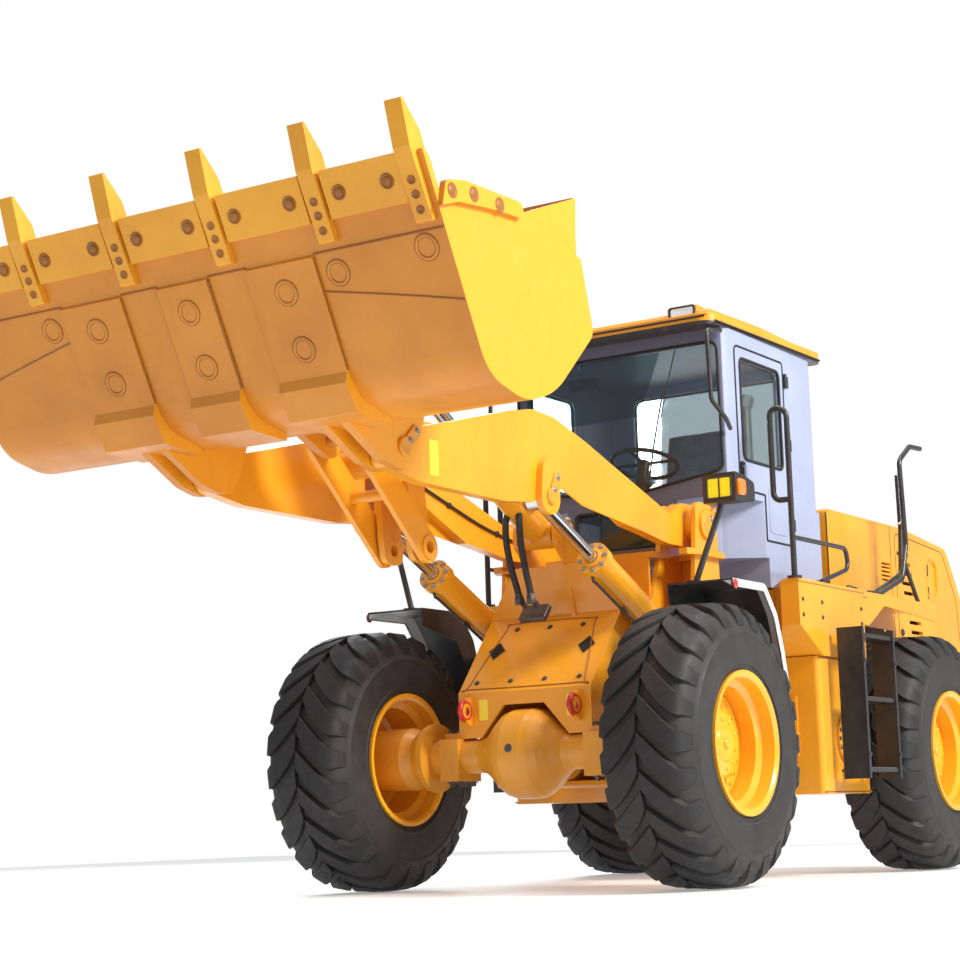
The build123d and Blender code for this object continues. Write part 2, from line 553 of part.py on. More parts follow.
def steer_cylinder():
    kx, ky = STEER_K
    mx, my = STEER_M
    l = math.hypot(mx - kx, my - ky)
    ux, uy = (mx - kx) / l, (my - ky) / l

    def pt(s):
        return (kx + ux * s, ky + uy * s, STEER_Z)
    base = cut(join(zcyl(kx, ky, 42, STEER_Z - 33, STEER_Z + 33), rod(pt(10), pt(70), 36)),
               zcyl(kx, ky, 16, STEER_Z - 60, STEER_Z + 60))
    barrel = cut(join(base, rod(pt(55), pt(628), 44), rod(pt(590), pt(628), 50)), rod(pt(70), pt(650), 22.5))
    stem = rod(pt(330), pt(l - 26), 22)
    eye = cut(join(stem, zcyl(mx, my, 36, STEER_Z - 34, STEER_Z + 34)), zcyl(mx, my, 15, STEER_Z - 60, STEER_Z + 60))
    return barrel, eye


sb, sr = steer_cylinder()
NODES["steering_barrel_left"], NODES["steering_rod_left"] = sb, sr
NODES["steering_barrel_right"], NODES["steering_rod_right"] = mirror_y(sb), mirror_y(sr)

# ----------------------------------------------------------------- rear frame
FORK = [(HINGE_X + 30, 104, 60), (HINGE_X + 108, 30, 60), (HINGE_X + 108, -30, 60), (HINGE_X + 30, -104, 60),
        (-1640, -300, 80), (-1900, -430, 60), (-2290, -430), (-2290, 430), (-1900, 430, 60), (-1640, 300, 80)]
forks = [join(prism("xy", FORK, z0, z1), zcyl(HINGE_X, 0, 110, z0, z1))
         for z0, z1 in ((535, 585), (655, 705), (1075, 1125), (1195, 1245))]
pins = [zcyl(HINGE_X, 0, 44, 525, 715), zcyl(HINGE_X, 0, 44, 1065, 1255)]
side = prism("xz", [(-1900, 535), (-1900, 780), (-1990, 810), (-1990, 910), (-1900, 940), (-1900, 1245), (-2290, 1245), (-2290, 1180), (-4760, 1180), (-4760, 960),
                    (-3400, 960, 80), (-3240, 862), (-2700, 862), (-2540, 640, 60), (-2300, 535)], 430, 460)
trans = block(-2292, -2262, -440, 440, 535, 1245)
steer_k_lug = join(*[join(prism("xy", [(-2270, 280), (-2270, 400), (-2200, 374, 20), (-2160, 350, 15), (-2160, 310, 15),
                                      (-2200, 286, 20)], z0, z1))
                     for z0, z1 in ((800, 822), (898, 920))],
                   zcyl(STEER_K[0], STEER_K[1], 15.5, 790, 930))
cradles = [cut(block(x0, x1, -440, 440, 640, 1180), xcyl(0, TYRE_R, 124, x0 - 10, x1 + 10))
           for x0, x1 in ((-2600, -2570), (-3360, -3330))]
tail_cross = block(-4760, -4730, -440, 440, 960, 1180)
rail_mid = block(-2300, -2262, -440, 440, 1150, 1180)
cab_carrier = [block(-2340, -1930, 432, 458, 1240, 1695), block(-2340, -1930, -458, -432, 1240, 1695),
               block(-2360, -1720, -694, 694, 1690, 1709)]
NODES["rear_frame"] = join(forks, pins, side, mirror_y(side), trans, both(steer_k_lug), cradles, tail_cross, rail_mid,
                           cab_carrier)

# --------------------------------------------------------------- counterweight
CW = [(-4766, 790, 60), (-4766, 1340), (-4830, 1400), (REAR_END, 1400, 60), (REAR_END, 860, 120), (-4840, 790, 40)]
cw_body = prism("xz", [(-4400, 820, 60), (-4400, 955), (-4766, 955), (-4766, 1395), (REAR_END + 10, 1395, 60),
                       (REAR_END, 900, 100), (-4800, 760, 60), (-4600, 760, 60)], -1080, 1080)
cw_body = cut(cw_body, prism("xy", [(-4300, 1200), (-4300, 900), (-4700, 1085, 200), (-4930, 1200)], 700, 1500),
              prism("xy", [(-4300, -1200), (-4300, -900), (-4700, -1085, 200), (-4930, -1200)], 700, 1500),
              block(-4905, -4820, -130, 130, 900, 1020))
hitch = cut(join(block(-4840, -4800, -120, 120, 905, 935), block(-4850, -4815, -125, 125, 890, 1030),
                 prism("xy", [(-4815, -90), (-4815, 90), (-4870, 60, 30), (-4886, 0, 30), (-4870, -60, 30)], 905, 935),
                 prism("xy", [(-4815, -90), (-4815, 90), (-4870, 60, 30), (-4886, 0, 30), (-4870, -60, 30)], 985, 1015)),
            zcyl(-4856, 0, 18, 880, 1040))
NODES["counterweight"] = cut(join(cw_body, hitch), xcyl(0, 1180, 32, -4950, -4810))

# ---------------------------------------------------------------- engine block
NODES["engine_block"] = join(block(-4350, -3420, -330, 330, 1186, 1950), block(-3420, -2420, -280, 280, 1186, 1660))

# ------------------------------------------------------------------------ hood
HOOD_OUT = [(-2450, DECK_Z + 2), (-2450, HOOD_TOP, 30), (-3700, HOOD_TOP), (-4540, 2210, 120), (-4790, 1865, 200),
            (-4840, 1402), (-3560, 1402, 60), (-3400, 1560, 80), (-3380, DECK_Z + 2)]
hood_solid = prism("xz", HOOD_OUT, -HOOD_HALF_W, HOOD_HALF_W)
HOOD_IN = [(-2478, 1400), (-2478, HOOD_TOP - 28, 10), (-3700, HOOD_TOP - 28), (-4522, 2184, 100), (-4760, 1858, 180),
           (-4806, 1380), (-3400, 1300)]
hood = cut(hood_solid, prism("xz", HOOD_IN, -HOOD_HALF_W + 28, HOOD_HALF_W - 28))
# side louvre openings, recessed handle and rear grille opening
louvre_small = [prism("xz", [(-3478, z, 6), (-3478, z + 14, 6), (-3322, z + 14, 6), (-3322, z, 6)], 700, 800)
                for z in (1892, 1920, 1948, 1976, 2000)]
louvre_big = []
for i in range(9):
    z = 1560 + i * 66
    x0 = -3965 + i * 23
    louvre_big.append(prism("xz", [(x0 - 40, z, 6), (x0 - 40, z + 26, 6), (x0 + 170, z + 26, 6), (x0 + 170, z, 6)],
                            700, 800))
recess = [prism("xz", [(-4330, 1840, 60), (-4330, 2090, 60), (-4150, 2110, 60), (-4150, 1840, 60)], 740, 800)]
half_cut = louvre_small + louvre_big + recess
hood = cut(hood, *half_cut, *[mirror_y(h) for h in half_cut],
           block(-4900, -4740, -560, 560, 1480, 1830))
NODES["hood"] = hood
GRILLE_BARS = [block(-4800, -4786, -548, 548, 1490 + i * 34, 1506 + i * 34) for i in range(10)]
NODES["rear_grille"] = join(block(-4786, -4772, -556, -530, 1484, 1826), block(-4786, -4772, 530, 556, 1484, 1826),
                            block(-4786, -4772, -13, 13, 1484, 1826), *GRILLE_BARS)

# --------------------------------------------------------------------- exhaust
NODES["exhaust_stack"] = cut(join(zcyl(-2900, 0, 62, HOOD_TOP, 2700), zcyl(-2900, 0, 46, 2700, 3100),
                                  rod((-2900, 0, 3080), (-2960, 0, 3170), 46)),
                             zcyl(-2900, 0, 40, 2750, 3060), rod((-2900, 0, 3060), (-2975, 0, 3190), 40))

# ------------------------------------------------------------ tanks, platforms
PLAT = [(-1240, 1080, 20), (-1240, 988), (-1600, 744), (-2405, 744), (-2405, 752), (-3450, 752), (-3450, 1062, 20),
        (-2300, 1062)]


def platform_and_tank(sight):
    top = prism("xy", [(-1240, 1080, 20), (-1240, 990), (-1612, 748), (-3450, 754), (-3450, 1062, 20), (-2300, 1062),
                       (-2200, 1080, 20)], 1672, DECK_Z)
    front = prism("xz", [(-1240, 1440), (-1240, 1700), (-2180, 1700), (-2180, 1276), (-1540, 1276)], 700, 1080)
    front = cut(front, prism("xy", [(-1200, 990), (-1612, 748), (-1200, 600)], 1200, 1800),
                block(-2170, -1552, 772, 1066, 1200, 1660), block(-1640, -1000, 600, 749, 1200, 1800))
    tank = prism("xy", [(-1520, 1060, 40), (-1520, 800, 20), (-1580, 745, 20), (-2200, 745, 20), (-2200, 1060, 40)],
                 480, 1276)
    tank = cut(tank, prism("xy", [(-1534, 1046, 30), (-1534, 806, 10), (-1590, 759, 10), (-2186, 759, 10),
                                  (-2186, 1046, 30)], 494, 1262))
    cover = ycyl((-1860, 800), 150, 1058, 1076)
    gauge = block(-1520, -1508, 880, 905, 700, 1050) if sight else block(-1520, -1512, 880, 905, 760, 800)
    hanger = block(-2100, -2070, 461, 760, 900, 1100)
    hanger2 = block(-1960, -1930, 461, 760, 900, 1100)
    rear_skirt = prism("xz", band([(-2260, 1690), (-2290, 1520, 60), (-2420, 1560, 80), (-2700, 1660, 80), (-3440, 1672)],
                                  10), 1020, 1062)
    valance = prism("xz", [(-3450, 1680), (-3450, 1590, 30), (-3380, 1600, 60), (-2560, 1640, 100), (-2300, 1500),
                           (-2190, 1500), (-2190, 1680)], 1050, 1062)
    inner = block(-3440, -2200, 754, 764, 1560, 1690)
    return join(top, front, tank, cover, gauge, hanger, hanger2, valance, inner)


NODES["fuel_tank_left"] = platform_and_tank(True)
NODES["hydraulic_tank_right"] = mirror_y(platform_and_tank(False))

# --------------------------------------------------------------------- ladders
stringer_f = block(-1660, -1630, 1130, 1290, 560, 1440)
stringer_r = block(-2120, -2095, 1150, 1290, 560, 1440)
treads = [block(-2100, -1655, 1150, 1280, z - 12, z + 12) for z in (610, 1020, 1390)]
brk = [block(-1800, -1760, 1081, 1160, 1380, 1402), block(-2060, -2020, 1081, 1160, 1380, 1402),
       block(-2060, -2020, 1061, 1160, 605, 620), block(-1800, -1760, 1061, 1160, 605, 620)]
NODES["ladders"] = both(join(stringer_f, stringer_r, treads, brk))

# ------------------------------------------------------------------- handrails
TR = 17.0
front_loop = join(tube_path([(-1262, 1050, 1724), (-1262, 1050, 2706), (-1262, 944, 2722), (-1262, 944, 2172),
                             (-1262, 1050, 2172)], TR, 70), zcyl(-1262, 1050, 42, DECK_Z, DECK_Z + 14))
small_loop = tube_path([(-1262, 1050, 1950), (-2030, 1050, 1955), (-2050, 1050, 1830), (-1640, 1050, 1722)], 14, 60)
small_foot = zcyl(-1650, 1048, 40, DECK_Z, DECK_Z + 16)
rear_rail_a = tube_path([(-2440, 1010, 1716), (-2620, 1010, 1726), (-3020, 1010, 1850), (-3120, 1010, 2080),
                         (-3090, 1010, 2640), (-3290, 1010, 2760), (-3480, 1010, 2770)], TR, 60)
rear_rail_b = tube_path([(-2640, 950, 1722), (-3160, 950, 1900), (-3200, 950, 2200), (-3190, 950, 2560)], TR, 60)
rail_feet = [zcyl(-2445, 1010, 42, DECK_Z, DECK_Z + 14), zcyl(-2650, 950, 42, DECK_Z, DECK_Z + 20),
             rod((-3100, 1008, 2230), (-3200, 948, 2235), 13), rod((-3280, 1010, 1716), (-3200, 950, 2020), 14)]
rear_rail = join(rear_rail_a, rear_rail_b, rail_feet)
rails = group(join(front_loop, small_loop, small_foot), rear_rail)
rails = cut(rails, block(-4000, -1000, 700, 1200, 1500, DECK_Z))
NODES["handrails"] = both(rails)

# ------------------------------------------------------------------------- cab
V_LOW = [(CAB_FRONT, -360), (CAB_FRONT, 360), (-1400, 535), (-1560, CAB_HALF_W), (CAB_REAR, CAB_HALF_W),
         (CAB_REAR, -CAB_HALF_W), (-1560, -CAB_HALF_W), (-1400, -535)]
V_IN = [(CAB_FRONT - 34, -344), (CAB_FRONT - 34, 344), (-1424, 512), (-1578, CAB_HALF_W - 40),
        (CAB_REAR + 40, CAB_HALF_W - 40), (CAB_REAR + 40, -CAB_HALF_W + 40), (-1578, -CAB_HALF_W + 40), (-1424, -512)]
RECT = [(CAB_FRONT, -CAB_HALF_W, 90), (CAB_FRONT, CAB_HALF_W, 90), (CAB_REAR, CAB_HALF_W, 60),
        (CAB_REAR, -CAB_HALF_W, 60)]
RECT_IN = [(CAB_FRONT - 40, -CAB_HALF_W + 40, 55), (CAB_FRONT - 40, CAB_HALF_W - 40, 55),
           (CAB_REAR + 40, CAB_HALF_W - 40, 25), (CAB_REAR + 40, -CAB_HALF_W + 40, 25)]
STEP_Z = 2222.0
lower = cut(prism("xy", V_LOW, CAB_FLOOR, STEP_Z + 20), prism("xy", V_IN, CAB_FLOOR + 30, STEP_Z + 40))
upper = cut(prism("xy", RECT, STEP_Z, CAB_TOP), prism("xy", RECT_IN, STEP_Z + 28, CAB_TOP - 25),
            prism("xy", V_IN, STEP_Z - 40, STEP_Z + 60))
base = cut(block(CAB_REAR, -1600, -CAB_HALF_W, CAB_HALF_W, DECK_Z + 0.0, CAB_FLOOR + 5),
           block(CAB_REAR + 40, -1640, -CAB_HALF_W + 40, CAB_HALF_W - 40, DECK_Z - 40, CAB_FLOOR))
cab = join(lower, upper, base)
WS_OUT = [(-692, 3140, 60), (692, 3140, 60), (698, 2372, 50), (150, 2290, 120), (-150, 2290, 120), (-698, 2372, 50)]
windshield = prism("yz", WS_OUT, -1200, -1060)
LOWG = [(-300, 1965, 30), (-300, 2195, 30), (300, 2195, 30), (300, 1965, 30)]
low_glass = prism("yz", LOWG, -1200, -1060)
DOOR_OPEN = [(-1240, 3140, 50), (-1930, 3140, 30), (-1930, 1984, 30), (-1575, 1984, 10), (-1575, 2260, 10),
             (-1240, 2260, 10)]
door_open = [prism("xz", DOOR_OPEN, 690, 760), prism("xz", DOOR_OPEN, -760, -690)]
rear_win = prism("yz", [(-540, 3130, 60), (540, 3130, 60), (540, 2420, 60), (-540, 2420, 60)], -2400, -2300)
NODES["cab_body"] = cut(cab, windshield, low_glass, door_open, rear_win)

# fixed glass, set inside the openings
glass = [prism("yz", [(-690.5, 3138.5, 60), (690.5, 3138.5, 60), (696.5, 2373.5, 50), (150, 2291.5, 120),
                      (-150, 2291.5, 120), (-696.5, 2373.5, 50)], CAB_FRONT - 24, CAB_FRONT - 14),
         prism("yz", [(-298.5, 1966.5, 30), (-298.5, 2193.5, 30), (298.5, 2193.5, 30), (298.5, 1966.5, 30)],
               CAB_FRONT - 24, CAB_FRONT - 14),
         prism("yz", [(-538.5, 3128.5, 60), (538.5, 3128.5, 60), (538.5, 2421.5, 60), (-538.5, 2421.5, 60)],
               CAB_REAR + 14, CAB_REAR + 22)]
NODES["cab_glass"] = group(glass)

# roof: yellow cap over a dark brow
ROOF = [(-985, -735, 110), (-985, 735, 110), (-2500, 760, 60), (-2500, -760, 60)]
roof_lower = prism("xy", ROOF, CAB_TOP, CAB_TOP + 66)
roof_cap = prism("xz", [(-985, CAB_TOP + 60), (-1010, ROOF_TOP - 12, 30), (-1700, ROOF_TOP, 200), (-2440, ROOF_TOP - 22, 60),
                        (-2500, CAB_TOP + 60)], -700, 700)
pods = []
for py in (-560, 440):
    pods.append(prism("xz", [(-1000, CAB_TOP + 58), (-1000, ROOF_TOP + 22, 14), (-1180, ROOF_TOP + 14, 40),
                             (-1300, ROOF_TOP - 6)], py, py + 190))
pod_cut = [block(-1010, -994, py + 18, py + 172, CAB_TOP + 72, ROOF_TOP + 8) for py in (-560, 440)]
beacon_boss = zcyl(-2200, -500, 30, 3270, 3326)
NODES["cab_roof"] = cut(join(roof_lower, roof_cap, pods, beacon_boss), pod_cut, zcyl(-2200, -500, 12, 3266, 3400))

# doors
DOOR = [(-1246, 3134, 46), (-1924, 3134, 26), (-1924, 1990, 26), (-1581, 1990, 8), (-1581, 2266, 8), (-1246, 2266, 8)]
DOOR_WIN = [(-1312, 3066, 50), (-1858, 3066, 50), (-1858, 2450, 50), (-1312, 2450, 50)]
door = cut(prism("xz", DOOR, 700, 740), prism("xz", DOOR_WIN, 690, 760))
door_glass = prism("xz", [(-1313.5, 3064.5, 50), (-1856.5, 3064.5, 50), (-1856.5, 2451.5, 50), (-1313.5, 2451.5, 50)],
                   716, 724)
handle = join(block(-1300, -1282, 740, 764, 2330, 2342), block(-1300, -1282, 740, 764, 2396, 2408),
              block(-1300, -1282, 756, 766, 2330, 2408))
NODES["door_left"] = join(door, handle)
NODES["door_right"] = mirror_y(join(door, handle))
NODES["door_glass_left"] = door_glass
NODES["door_glass_right"] = mirror_y(door_glass)

# seat and steering console
seat_base = block(-2080, -1720, -200, 200, CAB_FLOOR + 30, 2220)
seat_pan = prism("xz", [(-1640, 2210, 30), (-1640, 2300, 40), (-2080, 2330, 30), (-2130, 2210, 30)], -240, 240)
seat_back = prism("xz", [(-2060, 2280, 30), (-2150, 2270, 30), (-2250, 2830, 40), (-2190, 2860, 30), (-2110, 2600, 60)],
                  -230, 230)
armrests = both(join(block(-2140, -1800, 250, 310, 2420, 2470), block(-2140, -2090, 236, 300, 2280, 2430)))
NODES["seat"] = join(seat_base, seat_pan, seat_back, armrests)
column = rod((-1300, 0, CAB_FLOOR + 48), (-1430, 0, 2480), 42)
dash = prism("xz", [(-1200, CAB_FLOOR + 30), (-1200, 2240, 30), (-1350, 2340, 30), (-1400, 2290, 20),
                    (-1330, CAB_FLOOR + 30)], -170, 170)
wheel_plane = Plane(origin=(-1455, 0, 2525), z_dir=(-0.30, 0, 0.954))
steer_ring = Solid.make_torus(205, 14, wheel_plane)
spokes = [rod((-1455, -200, 2525), (-1455, 200, 2525), 10), rod((-1455, 0, 2525), (-1260, 0, 2586), 10)]
hub_c = rod((-1428, 0, 2470), (-1460, 0, 2535), 36)
NODES["steering_console"] = join(column, dash, steer_ring, spokes, hub_c)

# mirror brackets on the front posts
loop = tube_path([(-1113, 725, 3196), (-890, 745, 3158), (-884, 758, 2740), (-980, 800, 2640), (-1128, 752, 2608)], 13, 45)
NODES["mirrors"] = both(loop)

# ---------------------------------------------------------------------- export
if __name__ == "__main__":
    os.makedirs("parts", exist_ok=True)
    for name, obj in NODES.items():
        shape = Compound(flat([obj])) if not isinstance(obj, Solid) else obj
        moved = Pos(X_SHIFT, 0, 0) * shape
        if len(moved.solids()) == 1:
            moved = moved.solids()[0]
        export_step(moved, f"parts/{name}.step")
        bb = moved.bounding_box()
        print(f"{name:24s} solids {len(moved.solids())} x {bb.min.X:8.1f} {bb.max.X:8.1f}"
              f" y {bb.min.Y:8.1f} {bb.max.Y:8.1f} z {bb.min.Z:8.1f} {bb.max.Z:8.1f}"
              f" vol {sum(s.volume for s in moved.solids()) / 1e9:.4f}")
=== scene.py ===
"""Wheel loader: looks, details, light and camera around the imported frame."""
import math

import bmesh
import bpy
from mathutils import Matrix, Vector


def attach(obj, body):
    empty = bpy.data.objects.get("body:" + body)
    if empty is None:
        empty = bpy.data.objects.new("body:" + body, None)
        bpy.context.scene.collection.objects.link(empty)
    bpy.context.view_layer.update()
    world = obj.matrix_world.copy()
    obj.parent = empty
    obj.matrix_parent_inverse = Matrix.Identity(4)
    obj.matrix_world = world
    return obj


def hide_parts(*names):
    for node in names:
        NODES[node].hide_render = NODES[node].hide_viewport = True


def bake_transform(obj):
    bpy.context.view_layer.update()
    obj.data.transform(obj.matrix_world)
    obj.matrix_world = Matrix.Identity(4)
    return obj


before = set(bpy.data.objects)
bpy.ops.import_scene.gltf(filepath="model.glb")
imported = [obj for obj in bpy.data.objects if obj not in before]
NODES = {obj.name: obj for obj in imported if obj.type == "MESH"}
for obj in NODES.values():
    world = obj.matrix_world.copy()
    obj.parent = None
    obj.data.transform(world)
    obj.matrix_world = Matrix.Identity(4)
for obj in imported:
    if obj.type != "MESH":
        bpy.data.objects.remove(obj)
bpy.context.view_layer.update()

SHIFT = 0.8946          # the front axle's x in this frame


def P(x, y, z):
    """Millimetres from the front axle line -> metres in the frame."""
    return Vector((x / 1000 + SHIFT, y / 1000, z / 1000))


# ------------------------------------------------------------------ materials
def new_mat(name):
    m = bpy.data.materials.new(name)
    m.use_nodes = True
    nt = m.node_tree
    nt.nodes.clear()
    out = nt.nodes.new("ShaderNodeOutputMaterial")
    b = nt.nodes.new("ShaderNodeBsdfPrincipled")
    nt.links.new(b.outputs[0], out.inputs[0])
    tc = nt.nodes.new("ShaderNodeTexCoord")
    return m, nt, b, tc.outputs["Object"]


def noise(nt, co, scale, detail=4.0, rough=0.55, stretch=None):
    n = nt.nodes.new("ShaderNodeTexNoise")
    n.inputs["Scale"].default_value = scale
    n.inputs["Detail"].default_value = detail
    n.inputs["Roughness"].default_value = rough
    if stretch:
        mp = nt.nodes.new("ShaderNodeMapping")
        mp.inputs["Scale"].default_value = stretch
        nt.links.new(co, mp.inputs["Vector"])
        co = mp.outputs[0]
    nt.links.new(co, n.inputs["Vector"])
    return n.outputs["Fac"]


def ramp(nt, fac, stops):
    r = nt.nodes.new("ShaderNodeValToRGB")
    el = r.color_ramp.elements
    while len(el) < len(stops):
        el.new(0.5)
    for e, (p, c) in zip(el, stops):
        e.position = p
        e.color = (c[0], c[1], c[2], 1) if not isinstance(c, float) else (c, c, c, 1)
    nt.links.new(fac, r.inputs[0])
    return r.outputs[0]


def span(nt, fac, a, b, lo, hi):
    m = nt.nodes.new("ShaderNodeMapRange")
    for k, v in zip(("From Min", "From Max", "To Min", "To Max"), (a, b, lo, hi)):
        m.inputs[k].default_value = v
    nt.links.new(fac, m.inputs["Value"])
    return m.outputs[0]


def mix(nt, fac, a, b, mode="MIX"):
    m = nt.nodes.new("ShaderNodeMix")
    m.data_type = "RGBA"
    m.blend_type = mode
    if isinstance(fac, float):
        m.inputs[0].default_value = fac
    else:
        nt.links.new(fac, m.inputs[0])
    for i, v in ((6, a), (7, b)):
        if isinstance(v, tuple):
            m.inputs[i].default_value = (v[0], v[1], v[2], 1)
        else:
            nt.links.new(v, m.inputs[i])
    return m.outputs[2]


def math_node(nt, op, a, b=0.0):
    m = nt.nodes.new("ShaderNodeMath")
    m.operation = op
    for i, v in ((0, a), (1, b)):
        if isinstance(v, (int, float)):
            m.inputs[i].default_value = v
        else:
            nt.links.new(v, m.inputs[i])
    return m.outputs[0]


def bump(nt, b, height, strength, dist):
    n = nt.nodes.new("ShaderNodeBump")
    n.inputs["Strength"].default_value = strength
    n.inputs["Distance"].default_value = dist
    nt.links.new(height, n.inputs["Height"])
    nt.links.new(n.outputs[0], b.inputs["Normal"])


def xyz(nt, co):
    s = nt.nodes.new("ShaderNodeSeparateXYZ")
    nt.links.new(co, s.inputs[0])
    return s.outputs


def paint(name, light, dark, rough=(0.26, 0.42), coat=0.45, dust=0.14, chips=0.5, peel=0.035, metal=0.0,
          split=None, sides=None):
    """Sprayed enamel: drifting shade, thin dust on what faces up, fine chips, orange peel; with sides, painted shade on
    faces not turned sideways.
    """
    m, nt, b, co = new_mat(name)
    col = mix(nt, span(nt, noise(nt, co, 1.7, 5), 0.35, 0.68, 0.0, 1.0), light, dark)
    if split:
        axis, level, other = split
        side = math_node(nt, "GREATER_THAN" if axis[0] == "+" else "LESS_THAN", xyz(nt, co)["XYZ".index(axis[1])], level)
        col = mix(nt, side, col, other)
    geo = nt.nodes.new("ShaderNodeNewGeometry")
    # with sides given: faces not turned to ±Y keep the darker light/dark pair as painted shade, faces turned sideways
    # get the sides colour
    if sides:
        ny = math_node(nt, "ABSOLUTE", xyz(nt, geo.outputs["Normal"])[1])
        col = mix(nt, span(nt, ny, 0.55, 0.9, 0.0, 1.0), col, sides)
    up = xyz(nt, geo.outputs["Normal"])[2]
    upward = span(nt, up, 0.35, 1.0, 0.15, 1.0)
    film = math_node(nt, "MULTIPLY", upward, span(nt, noise(nt, co, 6.5, 7, 0.65), 0.42, 0.72, 0.0, dust))
    col = mix(nt, film, col, (0.42, 0.34, 0.24))
    chip = span(nt, noise(nt, co, 62, 6, 0.72), 0.735, 0.775, 0.0, chips)
    col = mix(nt, chip, col, (0.10, 0.075, 0.05))
    streak = span(nt, noise(nt, co, 9, 4, 0.6, (2.2, 2.2, 0.35)), 0.55, 0.8, 0.0, 0.16)
    col = mix(nt, streak, col, tuple(c * 0.72 for c in dark))
    nt.links.new(col, b.inputs["Base Color"])
    r = span(nt, noise(nt, co, 14, 5), 0.3, 0.7, rough[0], rough[1])
    r = math_node(nt, "ADD", r, math_node(nt, "MULTIPLY", film, 0.9))
    nt.links.new(r, b.inputs["Roughness"])
    b.inputs["Metallic"].default_value = metal
    b.inputs["Coat Weight"].default_value = coat
    b.inputs["Coat Roughness"].default_value = 0.14
    h = math_node(nt, "ADD", noise(nt, co, 230, 2), math_node(nt, "MULTIPLY", noise(nt, co, 3.0, 3), 0.8))
    bump(nt, b, h, peel * 4, 0.0012)
    return m


YEL = (0.86, 0.375, 0.014)
YEL_D = (0.78, 0.31, 0.011)
M = {}
M["yellow"] = paint("yellow_enamel", YEL, YEL_D)
# bucket: the browner orange pair is painted shade on the underside and back; the side plates keep the yellow through
# sides
M["bucket"] = paint("bucket_enamel_painted_shade", (0.70, 0.265, 0.016), (0.56, 0.195, 0.012), (0.34, 0.52), 0.2, 0.2, 0.65,
                    sides=(0.86, 0.375, 0.016))
M["axle"] = paint("axle_enamel", (0.80, 0.36, 0.02), (0.62, 0.25, 0.015), (0.3, 0.5), 0.3, 0.25, 0.6, 0.07)
M["rim"] = paint("rim_enamel", (0.90, 0.42, 0.014), (0.82, 0.35, 0.012), (0.22, 0.36), 0.5, 0.1)
M["tooth"] = paint("tooth_enamel", (0.86, 0.40, 0.018), (0.74, 0.31, 0.014), (0.34, 0.52), 0.2, 0.2, 0.9, 0.08)
M["roof"] = paint("roof_enamel", YEL, YEL_D, split=("-Z", 3.246, (0.018, 0.018, 0.02)))
M["cab"] = paint("cab_enamel", (0.37, 0.42, 0.585), (0.32, 0.365, 0.53), (0.3, 0.44), 0.3, 0.1, 0.3,
                 split=("+X", SHIFT - 1.136, (0.105, 0.118, 0.185)))
M["black"] = paint("black_enamel", (0.018, 0.018, 0.021), (0.012, 0.012, 0.014), (0.3, 0.46), 0.25, 0.22, 0.25)
M["fender"] = paint("fender_black", (0.014, 0.014, 0.016), (0.01, 0.01, 0.012), (0.35, 0.5), 0.15, 0.3, 0.15)
M["trim"] = paint("fender_trim_grey", (0.62, 0.64, 0.66), (0.52, 0.54, 0.56), (0.3, 0.45), 0.2, 0.15, 0.3)
M["cast"] = paint("cast_grey_iron", (0.13, 0.13, 0.135), (0.09, 0.09, 0.095), (0.5, 0.7), 0.0, 0.3, 0.4, 0.14)
M["red"] = paint("red_enamel", (0.62, 0.018, 0.02), (0.5, 0.012, 0.014), (0.3, 0.45), 0.3, 0.1)
M["steel"] = paint("zinc_steel", (0.42, 0.41, 0.37), (0.34, 0.32, 0.28), (0.28, 0.42), 0.0, 0.15, 0.3, 0.05, 0.85)
M["pipe"] = paint("heat_stained_steel", (0.15, 0.14, 0.135), (0.085, 0.075, 0.07), (0.35, 0.55), 0.0, 0.2, 0.5, 0.06, 0.8)
M["label"] = paint("blank_label", (0.96, 0.76, 0.05), (0.92, 0.70, 0.045), (0.3, 0.4), 0.35, 0.08, 0.1)
# darker brown copy of the yellow paint for beads, rims and bolt heads: painted shade along their edges
M["weld"] = paint("weld_bead_painted_shade_enamel", (0.36, 0.125, 0.010), (0.26, 0.085, 0.008), (0.36, 0.55), 0.2, 0.2, 0.5, 0.12)


def simple(name, colour, rough, metal=0.0, scale=60, amount=0.25, bump_s=0.2, bump_d=0.0006, coat=0.0, emit=None,
           detail=5, stretch=None):
    m, nt, b, co = new_mat(name)
    d = tuple(c * (1 - amount) for c in colour)
    nt.links.new(mix(nt, span(nt, noise(nt, co, scale * 0.13, detail), 0.3, 0.7, 0, 1), colour, d), b.inputs["Base Color"])
    nt.links.new(span(nt, noise(nt, co, scale * 0.3, detail), 0.3, 0.7, rough * 0.8, min(1, rough * 1.2)), b.inputs["Roughness"])
    b.inputs["Metallic"].default_value = metal
    b.inputs["Coat Weight"].default_value = coat
    if emit:
        b.inputs["Emission Color"].default_value = (*emit[0], 1)
        b.inputs["Emission Strength"].default_value = emit[1]
    bump(nt, b, noise(nt, co, scale, detail, 0.6, stretch), bump_s, bump_d)
    return m


def rubber():
    m, nt, b, co = new_mat("tyre_rubber")
    at = nt.nodes.new("ShaderNodeAttribute")
    at.attribute_name = "dust"
    base = mix(nt, span(nt, noise(nt, co, 5, 6), 0.3, 0.7, 0, 1), (0.0125, 0.0125, 0.0145), (0.019, 0.019, 0.021))
    film = math_node(nt, "MULTIPLY", at.outputs["Fac"], span(nt, noise(nt, co, 9, 7, 0.65), 0.3, 0.7, 0.1, 0.55))
    col = mix(nt, film, base, (0.050, 0.047, 0.043))
    nt.links.new(col, b.inputs["Base Color"])
    nt.links.new(span(nt, noise(nt, co, 18, 5), 0.3, 0.7, 0.5, 0.72), b.inputs["Roughness"])
    b.inputs["Specular IOR Level"].default_value = 0.42
    h = math_node(nt, "ADD", noise(nt, co, 160, 5, 0.7), math_node(nt, "MULTIPLY", noise(nt, co, 24, 4), 1.4))
    bump(nt, b, h, 0.32, 0.0022)
    return m


